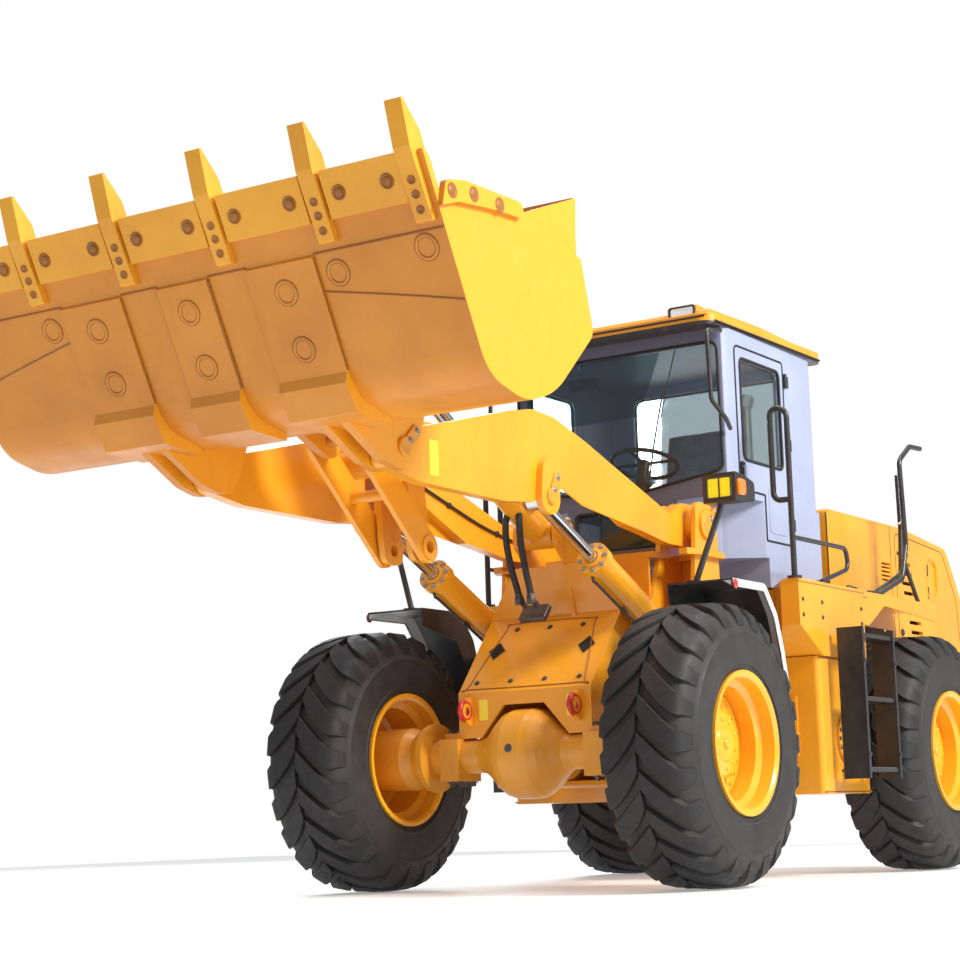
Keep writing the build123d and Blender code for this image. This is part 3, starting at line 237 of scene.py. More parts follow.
def glass(name, colour, rough=0.015, dirt=0.05):
    m, nt, b, co = new_mat(name)
    b.inputs["Transmission Weight"].default_value = 1.0
    b.inputs["IOR"].default_value = 1.35
    b.inputs["Base Color"].default_value = (*colour, 1)
    nt.links.new(span(nt, noise(nt, co, 7, 6, 0.6), 0.45, 0.75, rough, rough + dirt), b.inputs["Roughness"])
    bump(nt, b, noise(nt, co, 2.5, 2), 0.03, 0.0008)
    return m


def fabric(name, colour):
    m, nt, b, co = new_mat(name)
    w1 = nt.nodes.new("ShaderNodeTexWave")
    w1.inputs["Scale"].default_value = 95
    w1.inputs["Distortion"].default_value = 0.6
    w1.bands_direction = "Y"
    w2 = nt.nodes.new("ShaderNodeTexWave")
    w2.inputs["Scale"].default_value = 95
    w2.inputs["Distortion"].default_value = 0.6
    w2.bands_direction = "X"
    for w in (w1, w2):
        nt.links.new(co, w.inputs["Vector"])
    weave = math_node(nt, "MULTIPLY", w1.outputs["Fac"], w2.outputs["Fac"])
    d = tuple(c * 0.6 for c in colour)
    col = mix(nt, weave, d, colour)
    col = mix(nt, span(nt, noise(nt, co, 12, 5), 0.4, 0.8, 0, 0.35), col, tuple(c * 1.5 for c in colour))
    nt.links.new(col, b.inputs["Base Color"])
    nt.links.new(span(nt, noise(nt, co, 30, 4), 0.3, 0.7, 0.75, 0.95), b.inputs["Roughness"])
    b.inputs["Sheen Weight"].default_value = 0.3
    bump(nt, b, weave, 0.5, 0.0008)
    return m


def hose_mat():
    m, nt, b, co = new_mat("wrapped_hose")
    w = nt.nodes.new("ShaderNodeTexWave")
    w.inputs["Scale"].default_value = 34
    w.inputs["Distortion"].default_value = 1.2
    w.bands_direction = "Z"
    nt.links.new(co, w.inputs["Vector"])
    nt.links.new(mix(nt, w.outputs["Fac"], (0.01, 0.01, 0.011), (0.035, 0.035, 0.037)), b.inputs["Base Color"])
    nt.links.new(span(nt, noise(nt, co, 25, 4), 0.3, 0.7, 0.35, 0.6), b.inputs["Roughness"])
    bump(nt, b, w.outputs["Fac"], 0.7, 0.003)
    return m


M["rubber"] = rubber()
M["hose"] = hose_mat()
M["glass"] = glass("cab_glass_tint", (0.80, 0.90, 0.92))
M["band"] = glass("windshield_band_film", (0.24, 0.33, 0.36), 0.02, 0.03)
M["lens_y"] = simple("lamp_lens_yellow", (0.90, 0.72, 0.02), 0.16, scale=90, amount=0.2, bump_s=0.5, bump_d=0.003, coat=0.9,
                     emit=((1.0, 0.78, 0.03), 0.35), stretch=(0.1, 1, 0.1))
M["lens_w"] = simple("lamp_lens_clear", (0.80, 0.82, 0.84), 0.12, scale=90, amount=0.3, bump_s=0.5, bump_d=0.003, coat=0.9,
                     emit=((1, 1, 1), 0.15), stretch=(0.1, 1, 0.1))
M["lens_r"] = simple("reflector_red", (0.60, 0.02, 0.015), 0.2, scale=300, bump_s=0.6, bump_d=0.001, coat=0.9)
M["lens_o"] = simple("indicator_orange", (0.88, 0.20, 0.01), 0.2, scale=260, bump_s=0.6, bump_d=0.001, coat=0.9,
                     emit=((1, 0.25, 0.01), 0.12))
M["chrome"] = simple("hard_chrome", (0.74, 0.76, 0.79), 0.13, 1.0, scale=140, amount=0.1, bump_s=0.05, bump_d=0.0003)
M["plastic"] = simple("grained_plastic", (0.028, 0.03, 0.033), 0.5, scale=420, amount=0.3, bump_s=0.35, bump_d=0.0006)
M["seal"] = simple("seal_rubber", (0.011, 0.011, 0.012), 0.55, scale=160, amount=0.3, bump_s=0.3, bump_d=0.0006)
M["dark"] = simple("opening_shadow", (0.012, 0.01, 0.008), 0.85, scale=80, amount=0.4, bump_s=0.3)
M["blue"] = simple("mirror_blue", (0.02, 0.12, 0.42), 0.25, scale=60, amount=0.3, bump_s=0.05, coat=0.7)
M["seat"] = fabric("seat_cloth", (0.17, 0.36, 0.50))
M["grip"] = simple("tread_grit", (0.20, 0.20, 0.205), 0.8, scale=520, amount=0.5, bump_s=0.9, bump_d=0.0012)
M["floor"] = simple("pale_floor", (0.74, 0.74, 0.735), 0.62, scale=28, amount=0.03, bump_s=0.04, emit=((1, 1, 1), 0.30))

CAD_MAT = {
    "rear_frame": "yellow", "counterweight": "yellow", "rear_axle": "axle", "engine_block": "cast", "hood": "yellow",
    "rear_grille": "black", "exhaust_stack": "pipe", "fuel_tank_left": "yellow", "hydraulic_tank_right": "yellow",
    "ladders": "black", "handrails": "black", "cab_body": "cab", "cab_glass": "glass", "cab_roof": "roof",
    "steering_console": "plastic", "mirrors": "black", "front_frame": "yellow", "front_axle": "axle",
    "front_fenders": "fender", "work_lamps": "black", "lamp_lenses": "lens_y", "boom": "yellow", "bellcrank": "yellow",
    "bucket": "bucket", "bucket_teeth": "tooth", "bucket_link": "yellow", "tilt_barrel": "yellow", "tilt_rod": "chrome",
    "seat": "seat",
}
for n in NODES:
    key = CAD_MAT.get(n)
    if key is None:
        key = ("rim" if n.startswith("rim_") else "rubber" if n.startswith("tyre_") else
               "glass" if n.startswith("door_glass") else "cab" if n.startswith("door_") else
               "chrome" if "_rod_" in n else "yellow")
    o = NODES[n]
    if not o.material_slots:
        o.data.materials.append(M[key])
    for s in o.material_slots:
        s.material = M[key]


# ------------------------------------------------------------------- builder
def frame_of(axis, up=Vector((0, 0, 1))):
    w = Vector(axis).normalized()
    if abs(w.dot(up)) > 0.95:
        up = Vector((1, 0, 0))
    u = up.cross(w).normalized()
    return u, w.cross(u).normalized(), w


class Mesh:
    def __init__(self):
        self.v, self.f, self.d = [], [], []

    def add(self, verts, faces, dust=0.0):
        k = len(self.v)
        self.v += [tuple(p) for p in verts]
        self.f += [tuple(i + k for i in f) for f in faces]
        self.d += [dust] * len(verts)

    def lathe(self, profile, c, axis, n=32, close=True, dust=0.0, phase=0.0, up=Vector((0, 0, 1))):
        """Profile of (offset along axis, radius); a radius of 0 at an end makes a centre point."""
        u, v, w = frame_of(axis, up)
        c = Vector(c)
        rows, verts, faces = [], [], []
        for off, r in profile:
            if r <= 1e-7:
                rows.append([len(verts)])
                verts.append(c + w * off)
            else:
                rows.append(list(range(len(verts), len(verts) + n)))
                for i in range(n):
                    a = 2 * math.pi * (i / n) + phase
                    verts.append(c + w * off + (u * math.cos(a) + v * math.sin(a)) * r)
        for a, b in zip(rows, rows[1:]):
            for i in range(n):
                j = (i + 1) % n
                if len(a) == 1 and len(b) == 1:
                    continue
                if len(a) == 1:
                    faces.append((a[0], b[i], b[j]))
                elif len(b) == 1:
                    faces.append((a[i], b[0], a[j]))
                else:
                    faces.append((a[i], b[i], b[j], a[j]))
        if close and len(rows[0]) > 1:
            if abs(profile[0][0] - profile[-1][0]) < 1e-9 and abs(profile[0][1] - profile[-1][1]) < 1e-9:
                pass
            else:
                faces.append(tuple(rows[0]))
        if close and len(rows[-1]) > 1 and not (abs(profile[0][0] - profile[-1][0]) < 1e-9
                                                and abs(profile[0][1] - profile[-1][1]) < 1e-9):
            faces.append(tuple(reversed(rows[-1])))
        self.add(verts, faces, dust)

    def ring(self, c, axis, r, tube, n=36, m=10):
        prof = [(tube * math.sin(2 * math.pi * k / m), r + tube * math.cos(2 * math.pi * k / m)) for k in range(m)]
        prof.append(prof[0])
        u, v, w = frame_of(axis)
        verts, faces = [], []
        for i in range(n):
            a = 2 * math.pi * i / n
            d = u * math.cos(a) + v * math.sin(a)
            verts += [Vector(c) + w * off + d * rr for off, rr in prof[:-1]]
        for i in range(n):
            for k in range(m):
                faces.append((i * m + k, i * m + (k + 1) % m, ((i + 1) % n) * m + (k + 1) % m, ((i + 1) % n) * m + k))
        self.add(verts, faces)

    def bolt(self, c, axis, r=0.011, h=0.008, washer=True, phase=0.0):
        if washer:
            self.lathe([(0, r * 1.55), (h * 0.22, r * 1.55), (h * 0.3, r * 1.45), (h * 0.3, 0)], c, axis, 16, close=False)
        self.lathe([(h * 0.25, r), (h * 0.86, r), (h, r * 0.84), (h, 0)], c, axis, 6, close=False, phase=phase)

    def sweep(self, pts, r, n=10, closed=False, smooth=6, cap=True):
        pts = [Vector(p) for p in pts]
        if smooth > 1:
            path = []
            k = len(pts)
            rng = range(k if closed else k - 1)
            for i in rng:
                p0 = pts[(i - 1) % k] if closed or i > 0 else pts[0] * 2 - pts[1]
                p1, p2 = pts[i], pts[(i + 1) % k]
                p3 = pts[(i + 2) % k] if closed or i + 2 < k else pts[-1] * 2 - pts[-2]
                for t in range(smooth):
                    s = t / smooth
                    path.append(0.5 * (2 * p1 + (p2 - p0) * s + (2 * p0 - 5 * p1 + 4 * p2 - p3) * s * s
                                       + (3 * p1 - p0 - 3 * p2 + p3) * s ** 3))
            if not closed:
                path.append(pts[-1])
        else:
            path = pts
        k = len(path)
        tang = []
        for i in range(k):
            a = path[i - 1] if closed or i > 0 else path[0]
            b = path[(i + 1) % k] if closed or i < k - 1 else path[-1]
            tang.append((b - a).normalized())
        u, v, w = frame_of(tang[0])
        verts = []
        for i in range(k):
            w = tang[i]
            u = (u - w * u.dot(w)).normalized()
            v = w.cross(u)
            for j in range(n):
                a = 2 * math.pi * j / n
                verts.append(path[i] + (u * math.cos(a) + v * math.sin(a)) * r)
        faces = []
        for i in range(k if closed else k - 1):
            for j in range(n):
                i2, j2 = (i + 1) % k, (j + 1) % n
                faces.append((i * n + j, i2 * n + j, i2 * n + j2, i * n + j2))
        if not closed and cap:
            faces.append(tuple(range(n)))
            faces.append(tuple(reversed(range((k - 1) * n, k * n))))
        self.add(verts, faces)

    def plate(self, outline, o, ux, uy, h, chamfer=0.0015, hole=None):
        """Outline in (a, b) along ux, uy from o, raised by h along ux x uy with a chamfered rim; hole is an inner outline."""
        ux, uy = Vector(ux).normalized(), Vector(uy).normalized()
        w = ux.cross(uy).normalized()
        o = Vector(o)
        n = len(outline)
        ca = sum(p[0] for p in outline) / n
        cb = sum(p[1] for p in outline) / n

        def inset(p, d):
            a, b = p[0] - ca, p[1] - cb
            l = math.hypot(a, b) or 1
            return (ca + a * (1 - d / l), cb + b * (1 - d / l))
        c = min(chamfer, h * 0.6)
        rows = [[o + ux * p[0] + uy * p[1] for p in outline],
                [o + ux * p[0] + uy * p[1] + w * (h - c) for p in outline],
                [o + ux * inset(p, c)[0] + uy * inset(p, c)[1] + w * h for p in outline]]
        if hole:
            rows.append([o + ux * p[0] + uy * p[1] + w * h for p in hole])
            rows.append([o + ux * p[0] + uy * p[1] for p in hole])
        verts = [p for r in rows for p in r]
        faces = []
        for k in range(len(rows) - 1):
            for i in range(n):
                j = (i + 1) % n
                faces.append((k * n + i, k * n + j, (k + 1) * n + j, (k + 1) * n + i))
        if hole:
            k = len(rows) - 1
            for i in range(n):
                j = (i + 1) % n
                faces.append((k * n + i, k * n + j, j, i))
        else:
            faces.append(tuple(range(2 * n, 3 * n)))
            faces.append(tuple(reversed(range(n))))
        self.add(verts, faces)

    def done(self, name, mat, body, slot=None, sharp=38.0, replaces=()):
        me = bpy.data.meshes.new(name)
        me.from_pydata(self.v, [], self.f)
        if any(self.d):
            a = me.attributes.new("dust", "FLOAT", "POINT")
            a.data.foreach_set("value", self.d)
        bm = bmesh.new()
        bm.from_mesh(me)
        bmesh.ops.recalc_face_normals(bm, faces=bm.faces)
        bm.to_mesh(me)
        bm.free()
        me.polygons.foreach_set("use_smooth", [True] * len(me.polygons))
        me.set_sharp_from_angle(angle=math.radians(sharp))
        me.materials.append(M[mat])
        ob = bpy.data.objects.new(name, me)
        bpy.context.scene.collection.objects.link(ob)
        if body:
            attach(ob, body)
        if replaces:
            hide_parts(*replaces)
        return ob


def rrect(w, h, r, n=5, ca=0.0, cb=0.0):
    pts = []
    for cx, cy, a0 in ((w / 2 - r, h / 2 - r, 0), (-w / 2 + r, h / 2 - r, 90), (-w / 2 + r, -h / 2 + r, 180),
                       (w / 2 - r, -h / 2 + r, 270)):
        for i in range(n + 1):
            a = math.radians(a0 + 90 * i / n)
            pts.append((ca + cx + r * math.cos(a), cb + cy + r * math.sin(a)))
    return pts


def round_poly(pts, n=5):
    """Corner list (a, b[, r]) -> points, arcs at corners with a radius."""
    out, k = [], len(pts)
    for i in range(k):
        p0, p1, p2 = Vector(pts[i - 1][:2]), Vector(pts[i][:2]), Vector(pts[(i + 1) % k][:2])
        r = pts[i][2] if len(pts[i]) > 2 else 0
        if not r:
            out.append(tuple(p1))
            continue
        u, v = (p0 - p1), (p2 - p1)
        lu, lv = u.length, v.length
        u, v = u.normalized(), v.normalized()
        half = math.acos(max(-1, min(1, u.dot(v)))) / 2
        t = min(r / math.tan(half), lu * 0.49, lv * 0.49)
        a, b = p1 + u * t, p1 + v * t
        for s in range(n + 1):
            q = s / n
            out.append(tuple((1 - q) ** 2 * a + 2 * q * (1 - q) * p1 + q * q * b))
    return out


# --------------------------------------------------------------------- tyres
WHEELBASE, TRACK, TYRE_R = 2970.0, 2110.0, 735.0
CROWN = [(0, 735), (55, 734), (100, 732), (150, 727.5), (190, 721), (215, 706), (232, 684), (243, 655), (250, 626), (254, 604)]
OUT = [(-236, 352), (-240, 375), (-247, 400), (-250, 404), (-255, 404), (-256, 412), (-253, 418), (-258, 470), (-261, 530),
       (-260, 556), (-263, 560), (-263, 570), (-258, 575), (-250, 606), (-236, 640), (-216, 672), (-190, 692), (-150, 700),
       (-100, 704), (0, 707)]
INN = [(-186, 352), (-196, 400), (-212, 480), (-214, 560), (-196, 625), (-150, 655), (0, 664)]
LUGS = 24


def make_tyre(tag, x, side):
    g = Mesh()
    y = side * TRACK / 2
    c = P(x, y, TYRE_R)
    prof = OUT + [(-a, b) for a, b in OUT[-2::-1]] + [(-a, b) for a, b in INN[:-1]] + INN[::-1]
    prof = [(a / 1000, b / 1000) for a, b in prof]
    prof.append(prof[0])
    g.lathe(prof, c, (0, 1, 0), 96, close=False, dust=1.0, up=Vector((0, 0, 1)))
    for s in (1, -1):
        for k in range(LUGS):
            a0 = 2 * math.pi * (k + (0.5 if s < 0 else 0.0)) / LUGS
            rows = []
            for i, (off, r) in enumerate(CROWN):
                q = off / 254
                lean = math.radians(15.5) * (1 - (1 - min(1.0, off / 215)) ** 1.25) + math.radians(1.0) * max(0, q - 0.85)
                wide = math.radians(4.55 + 0.75 * math.sin(math.pi * min(1, off / 215)) - (0.9 * max(0, q - 0.8) * 5))
                if i == 0:
                    off, wide = 3, math.radians(4.0)
                a = a0 + lean
                if off < 200:
                    nx, nr = 0.0, 1.0
                else:
                    t = min(1, (off - 190) / 55)
                    nx, nr = math.sin(t * 1.25), math.cos(t * 1.25)
                deep = 34 if off < 200 else 26
                low = (off - nx * deep, r - nr * deep)
                mid = (off - nx * 5, r - nr * 5)
                base_w, top_w = wide * 1.10, wide * 0.93
                rows.append([(low, a - base_w), (mid, a - wide), ((off, r), a - top_w), ((off, r), a + top_w),
                             (mid, a + wide), (low, a + base_w)])
            verts = []
            for row in rows:
                for (off, r), a in row:
                    verts.append(c + Vector((math.cos(a) * r / 1000, s * off / 1000, -math.sin(a) * r / 1000)))
            faces = []
            for i in range(len(rows) - 1):
                for j in range(5):
                    faces.append((i * 6 + j, i * 6 + j + 1, (i + 1) * 6 + j + 1, (i + 1) * 6 + j))
                faces.append((i * 6 + 5, i * 6, (i + 1) * 6, (i + 1) * 6 + 5))
            faces.append(tuple(range(6)))
            faces.append(tuple(reversed(range((len(rows) - 1) * 6, len(rows) * 6))))
            g.add(verts, faces, 0.06)
    g.done("tread_" + tag, "rubber", "wheel_" + tag, "tyre_rubber", 32, ("tyre_" + tag,))
    b = Mesh()
    for i in range(16):
        a = 2 * math.pi * i / 16
        b.bolt(c + Vector((math.cos(a) * 0.203, side * 0.078, math.sin(a) * 0.203)), (0, side, 0), 0.0115, 0.013)
    for i in range(10):
        a = 2 * math.pi * i / 10 + 0.2
        b.bolt(c + Vector((math.cos(a) * 0.126, side * 0.1215, math.sin(a) * 0.126)), (0, side, 0), 0.008, 0.008)
    for i in range(20):
        a = 2 * math.pi * i / 20
        b.bolt(c + Vector((math.cos(a) * 0.245, side * 0.07, math.sin(a) * 0.245)), (0, side, 0), 0.0105, 0.012)
    b.lathe([(0, 0.026), (0.008, 0.026), (0.012, 0.022), (0.012, 0)], c + Vector((0, side * 0.131, 0.0)), (0, side, 0), 18,
            close=False)
    b.done("hub_bolts_" + tag, "rim", "wheel_" + tag, "rim_paint")
    v = Mesh()
    a = 0.9
    base = c + Vector((math.cos(a) * 0.29, side * 0.03, math.sin(a) * 0.29))
    v.sweep([base, base + Vector((0, side * 0.03, 0)), base + Vector((math.cos(a) * -0.01, side * 0.07, math.sin(a) * -0.01))],
            0.005, 8)
    v.done("valve_" + tag, "steel", "wheel_" + tag)


for tag, wx, side in (("front_left", 0.0, 1), ("front_right", 0.0, -1),
                      ("rear_left", -WHEELBASE, 1), ("rear_right", -WHEELBASE, -1)):
    make_tyre(tag, wx, side)

# -------------------------------------------------------------------- bucket
TILT = math.radians(62.6)
SEAM = (2865.0, 2829.0)


def bk(s, t, y):
    """Bucket floor coordinates in mm -> frame point."""
    return P(SEAM[0] + s * math.cos(TILT) - t * math.sin(TILT), y, SEAM[1] + s * math.sin(TILT) + t * math.cos(TILT))


B_S = Vector((math.cos(TILT), 0, math.sin(TILT)))      # along the floor
B_D = Vector((math.sin(TILT), 0, -math.cos(TILT)))     # out of the floor's underside

w = Mesh()
for s, y, t in ((-170, 0, -18), (-430, 0, -18), (-170, 555, -18), (-430, 555, -18), (-170, -555, -18), (-430, -555, -18),
                (-130, 840, 0), (-130, -840, 0), (-100, 1310, 0), (-100, -1310, 0)):
    w.lathe([(-0.001, 0.058), (0.004, 0.056), (0.0065, 0.051), (0.0055, 0.046), (0.001, 0.043), (0.001, 0)], bk(s, t, y), B_D, 32,
            close=False)
w.done("bucket_plug_welds", "bucket", "bucket_tool", "yellow_paint")
# dark rims round the plug welds in the weld paint: painted shade at their edges
w = Mesh()
for s, y, t in ((-170, 0, -18), (-430, 0, -18), (-170, 555, -18), (-430, 555, -18), (-170, -555, -18), (-430, -555, -18),
                (-130, 840, 0), (-130, -840, 0), (-100, 1310, 0), (-100, -1310, 0)):
    w.ring(bk(s, t, y) + B_D * 0.0005, B_D, 0.0585, 0.0035, 36, 6)
    w.ring(bk(s, t, y) + B_D * 0.001, B_D, 0.0425, 0.0022, 36, 6)
w.done("bucket_plug_rims", "weld", "bucket_tool", "yellow_paint")
w = Mesh()
for sg in (1, -1):
    w.sweep([bk(-200, -1, sg * 750), bk(-270, -1, sg * 1085), bk(-345, -1, sg * 1418)], 0.0045, 8)
    w.sweep([bk(-30, -3, sg * 1418), bk(-30, -3, sg * 742)], 0.005, 8, smooth=1)
    for yy in (372, 738):
        w.sweep([bk(-42, -8, sg * yy), bk(-300, -8, sg * yy), bk(-556, -8, sg * yy)], 0.0062, 8, smooth=1)
w.sweep([bk(-30, -3, 366), bk(-30, -3, 149)], 0.005, 8, smooth=1)
w.sweep([bk(-30, -3, -366), bk(-30, -3, -149)], 0.005, 8, smooth=1)
for yy in (-147, 147):
    w.sweep([bk(-42, -8, yy), bk(-300, -8, yy), bk(-556, -8, yy)], 0.006, 8, smooth=1)
w.done("bucket_weld_beads", "weld", "bucket_tool", "yellow_paint")

# edge bolts in the darker weld paint: painted shade outlining their heads
b = Mesh()
for y0, y1 in ((-226, 226), (340, 793), (907, 1306), (-793, -340), (-1306, -907)):
    for yy in (y0 + 75, y1 - 75):
        b.lathe([(0, 0.034), (0.004, 0.034), (0.006, 0.031), (0.003, 0.026), (0.002, 0.021), (0.007, 0.019), (0.0085, 0.015),
                 (0.0085, 0)], bk(206, -26, yy), B_D, 24, close=False)
for ty in (283, 850, 1354, -283, -850, -1354):
    for s, t in ((62, -31.5), (128, -33.4), (190, -35.3)):
        b.lathe([(0, 0.019), (0.004, 0.019), (0.005, 0.016), (0.002, 0.012), (0.002, 0)], bk(s, t - 0.5, ty), B_D, 18, close=False)
for sg in (1, -1):
    for s, t in ((96, 92), (40, 250), (-52, 430)):
        b.lathe([(-0.002, 0.036), (0.0025, 0.034), (0.0035, 0.03), (0.001, 0.022), (0.003, 0.018), (0.003, 0)],
                bk(s, t, sg * 1450), (0, sg, 0), 24, close=False)
b.done("bucket_edge_bolts", "weld", "bucket_tool", "yellow_paint")

# --------------------------------------------------------- pins and retainers
PIN = {"A": (-950, 2030), "B": (2020, 2090), "C": (1700, 2240), "D": (1150, 1748), "E": (1200, 2280), "F": (1487, 2896),
       "G": (-200, 1950), "H": (690, 2010), "J": (-860, 1285)}


def retainer(m, bolts, pin, y, out, ang, r, length=0.15, width=0.062):
    """Pin end with an oval keeper plate and two bolts on it."""
    c = P(PIN[pin][0], y, PIN[pin][1])
    m.lathe([(0, r), (0.010, r), (0.015, r - 0.005), (0.0155, r * 0.45), (0.0135, r * 0.35), (0.0135, 0)], c, (0, out, 0), 30,
            close=False)
    d = Vector((math.cos(ang), 0, math.sin(ang)))
    up = Vector((0, out, 0)).cross(d)
    m.plate(rrect(length, width, width * 0.48, 6), c + d * (r + length * 0.30), d, up, 0.012)
    for k in (-0.3, 0.3):
        bolts.bolt(c + d * (r + length * (0.30 + k)) + Vector((0, out * 0.012, 0)), (0, out, 0), 0.0115, 0.011)


for body, items in {
    "front_body": [("A", 656, 2.5, 0.056), ("J", 650, -1.35, 0.050), ("G", 148, 1.9, 0.042)],
    "boom_arm": [("H", 599, 2.05, 0.042), ("E", 155, 0.6, 0.044)],
    "bucket_tool": [("B", 614, 2.4, 0.046), ("C", 151, 0.5, 0.036)],
    "bellcrank_lever": [("D", 104, 3.6, 0.036), ("F", 112, 2.2, 0.036)],
}.items():
    m_, b_ = Mesh(), Mesh()
    for pin, y, ang, r in items:
        for sg in (1, -1):
            retainer(m_, b_, pin, sg * y, sg, ang, r, 0.13 if pin in "AJHB" else 0.075, 0.058 if pin in "AJHB" else 0.04)
    m_.done("pin_keepers_" + body, "axle", body, "yellow_paint")
    b_.done("pin_bolts_" + body, "steel", body)


def along(p, q, s):
    l = math.hypot(q[0] - p[0], q[1] - p[1])
    return (p[0] + (q[0] - p[0]) / l * s, p[1] + (q[1] - p[1]) / l * s)


def gland(body, name, p, q, y, s, r_bolt, r_rod, n=8):
    g, h = Mesh(), Mesh()
    a, a2 = along(p, q, s), along(p, q, s + 10)
    axis = P(a2[0], y, a2[1]) - P(a[0], y, a[1])
    c = P(a[0], y, a[1])
    u, v, ww = frame_of(axis)
    for i in range(n):
        t = 2 * math.pi * i / n + 0.2
        g.bolt(c + (u * math.cos(t) + v * math.sin(t)) * r_bolt, axis, 0.010, 0.012)
    h.lathe([(0, r_rod + 0.022), (0.008, r_rod + 0.022), (0.012, r_rod + 0.016), (0.012, r_rod + 0.003), (0, r_rod + 0.003)],
            c, axis, 32, close=False)
    c1 = along(p, q, s - 62)
    h.ring(P(c1[0], y, c1[1]), axis, r_bolt + 0.002, 0.004, 36, 8)
    g.done("gland_bolts_" + name, "steel", body)
    h.done("gland_wiper_" + name, "axle", body, "yellow_paint")


for tag, sg in (("left", 1), ("right", -1)):
    gland("lift_tube_" + tag, "lift_" + tag, PIN["J"], PIN["H"], sg * 512, 1100, 0.078, 0.036)
    t = Mesh()
    dirx = Vector((PIN["H"][0] - PIN["J"][0], 0, PIN["H"][1] - PIN["J"][1])).normalized()
    low = Vector((dirx.z, 0, -dirx.x))

    def lp(s, d, yy=0.0):
        a = along(PIN["J"], PIN["H"], s)
        return P(a[0], sg * 512 + yy, a[1]) + low * d
    t.sweep([lp(190, 0.070), lp(200, 0.098), lp(240, 0.104), lp(600, 0.104), lp(990, 0.106), lp(1040, 0.112), lp(1066, 0.088)],
            0.0085, 8)
    for s in (360, 700):
        t.lathe([(-0.02, 0.014), (0.02, 0.014)], lp(s, 0.102), dirx, 12)
    t.done("lift_pipe_" + tag, "black", "lift_tube_" + tag)
gland("tilt_tube", "tilt", PIN["G"], PIN["F"], 0, 960, 0.083, 0.038, 10)

# hoses from the clamp block on the tower to the tilt cylinder
h = Mesh()
for sg in (1, -1):
    h.sweep([P(10, sg * 38, 1585), P(14, sg * 40, 1630), P(62, sg * 44, 1740), P(104, sg * 46, 1880), P(112, sg * 44, 1990),
             P(96, sg * 34, 2060)], 0.019, 12)
ob = h.done("tilt_hoses", "hose", None)
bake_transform(ob)
h = Mesh()
n_ = Vector((0.762, 0, 0.648))
u_ = Vector((0.648, 0, -0.762))
for sg in (1, -1):
    h.lathe([(0, 0.030), (0.035, 0.030), (0.045, 0.024), (0.060, 0.024), (0.06, 0)], P(-6, sg * 38, 1556), (0.25, 0, 0.97), 6,
            close=False)
h.plate(rrect(0.17, 0.11, 0.012), P(-108, 0, 1500) + n_ * 0.0, Vector((0, 1, 0)), -u_, 0.03, 0.004)
h.sweep([P(-60, 38, 1545), P(-40, 38, 1562), P(-6, 38, 1570)], 0.016, 10)
h.sweep([P(-60, -38, 1545), P(-40, -38, 1562), P(-6, -38, 1570)], 0.016, 10)
h.done("hose_fittings", "pipe", "front_body")

# --------------------------------------------------------------- front frame
def on_apron(x, y):
    """Point on the sloped front face above the axle, x from the axle line."""
    return P(x, y, 1081 + (53 - x) * 434 / 369)


# dark diamond sheets in the opening-shadow paint stand for the apron cutouts: painted shade in place of holes
g, s_ = Mesh(), Mesh()
for y in (-292, 292):
    c = on_apron(-150, y) + n_ * 0.0015
    d = 0.052
    g.plate([(d, 0), (0, d * 1.25), (-d, 0), (0, -d * 1.25)], c, Vector((0, 1, 0)), -u_, 0.0025, 0.001)
    s_.sweep([c + Vector((0, 1, 0)) * (d + 0.004), c - u_ * (d * 1.25 + 0.005), c - Vector((0, 1, 0)) * (d + 0.004),
              c + u_ * (d * 1.25 + 0.005)], 0.004, 8, closed=True, smooth=1)
g.done("apron_cutout_shade", "dark", "front_body")
outline = [on_apron(-285, -250), on_apron(-285, 250), on_apron(-250, 288), on_apron(20, 372), on_apron(36, 350),
           on_apron(36, -350), on_apron(20, -372), on_apron(-250, -288)]
s_.sweep([p + n_ * 0.002 for p in outline], 0.0032, 6, closed=True, smooth=4)
s_.done("apron_seam", "weld", "front_body", "yellow_paint")
b = Mesh()
for x, y in ((-255, -215), (-255, 215), (5, -330), (5, 330), (5, -110), (5, 110), (-255, 0)):
    b.bolt(on_apron(x, y), n_, 0.0105, 0.009)
for sg in (1, -1):
    for x in (-96, 30):
        for y in (438, 497):
            b.bolt(P(x, sg * y, 864), (0, 0, 1), 0.017, 0.022)
            b.lathe([(0, 0.012), (0.262, 0.012)], P(x, sg * y, 572), (0, 0, 1), 12)
            b.bolt(P(x, sg * y, 598), (0, 0, -1), 0.017, 0.022)
b.lathe([(0, 0.024), (0.012, 0.024), (0.014, 0.020), (0.014, 0.012), (0.02, 0.012), (0.02, 0)], P(232, 10, 760), (1, 0, 0.1), 16,
        close=False)
b.done("front_bolts", "pipe", "front_body")

g = Mesh()
for sg in (1, -1):
    g.ring(P(108, sg * 350, 982), (0, 1, 0), 0.047, 0.0165, 36, 10)
g.done("tow_rings", "red", "front_body")
g = Mesh()
for y in (-262, 300):
    g.plate(rrect(0.056, 0.115, 0.006), P(53.4, y, 985), Vector((0, 1, 0)), Vector((0, 0, 1)), 0.0012, 0.0004)
g.done("blank_labels_front", "label", "front_body")
g = Mesh()
for sg in (1, -1):
    g.plate(rrect(0.075, 0.17, 0.006), P(1700, sg * 562.5, 2085), Vector((sg * -1, 0, 0)), Vector((0, 0, 1)), 0.0012, 0.0004)
g.done("blank_labels_boom", "label", "boom_arm")

# weld bead rings round the cross tube at the boom top
g = Mesh()
for sg in (1, -1):
    for k in range(2):
        g.sweep([P(1008 + 80 * math.cos(a), sg * (494 - k * 340), 2250 + 80 * math.sin(a))
                 for a in [2 * math.pi * i / 24 for i in range(24)]], 0.005, 6, closed=True, smooth=2)
g.done("boom_weld_beads", "weld", "boom_arm", "yellow_paint")
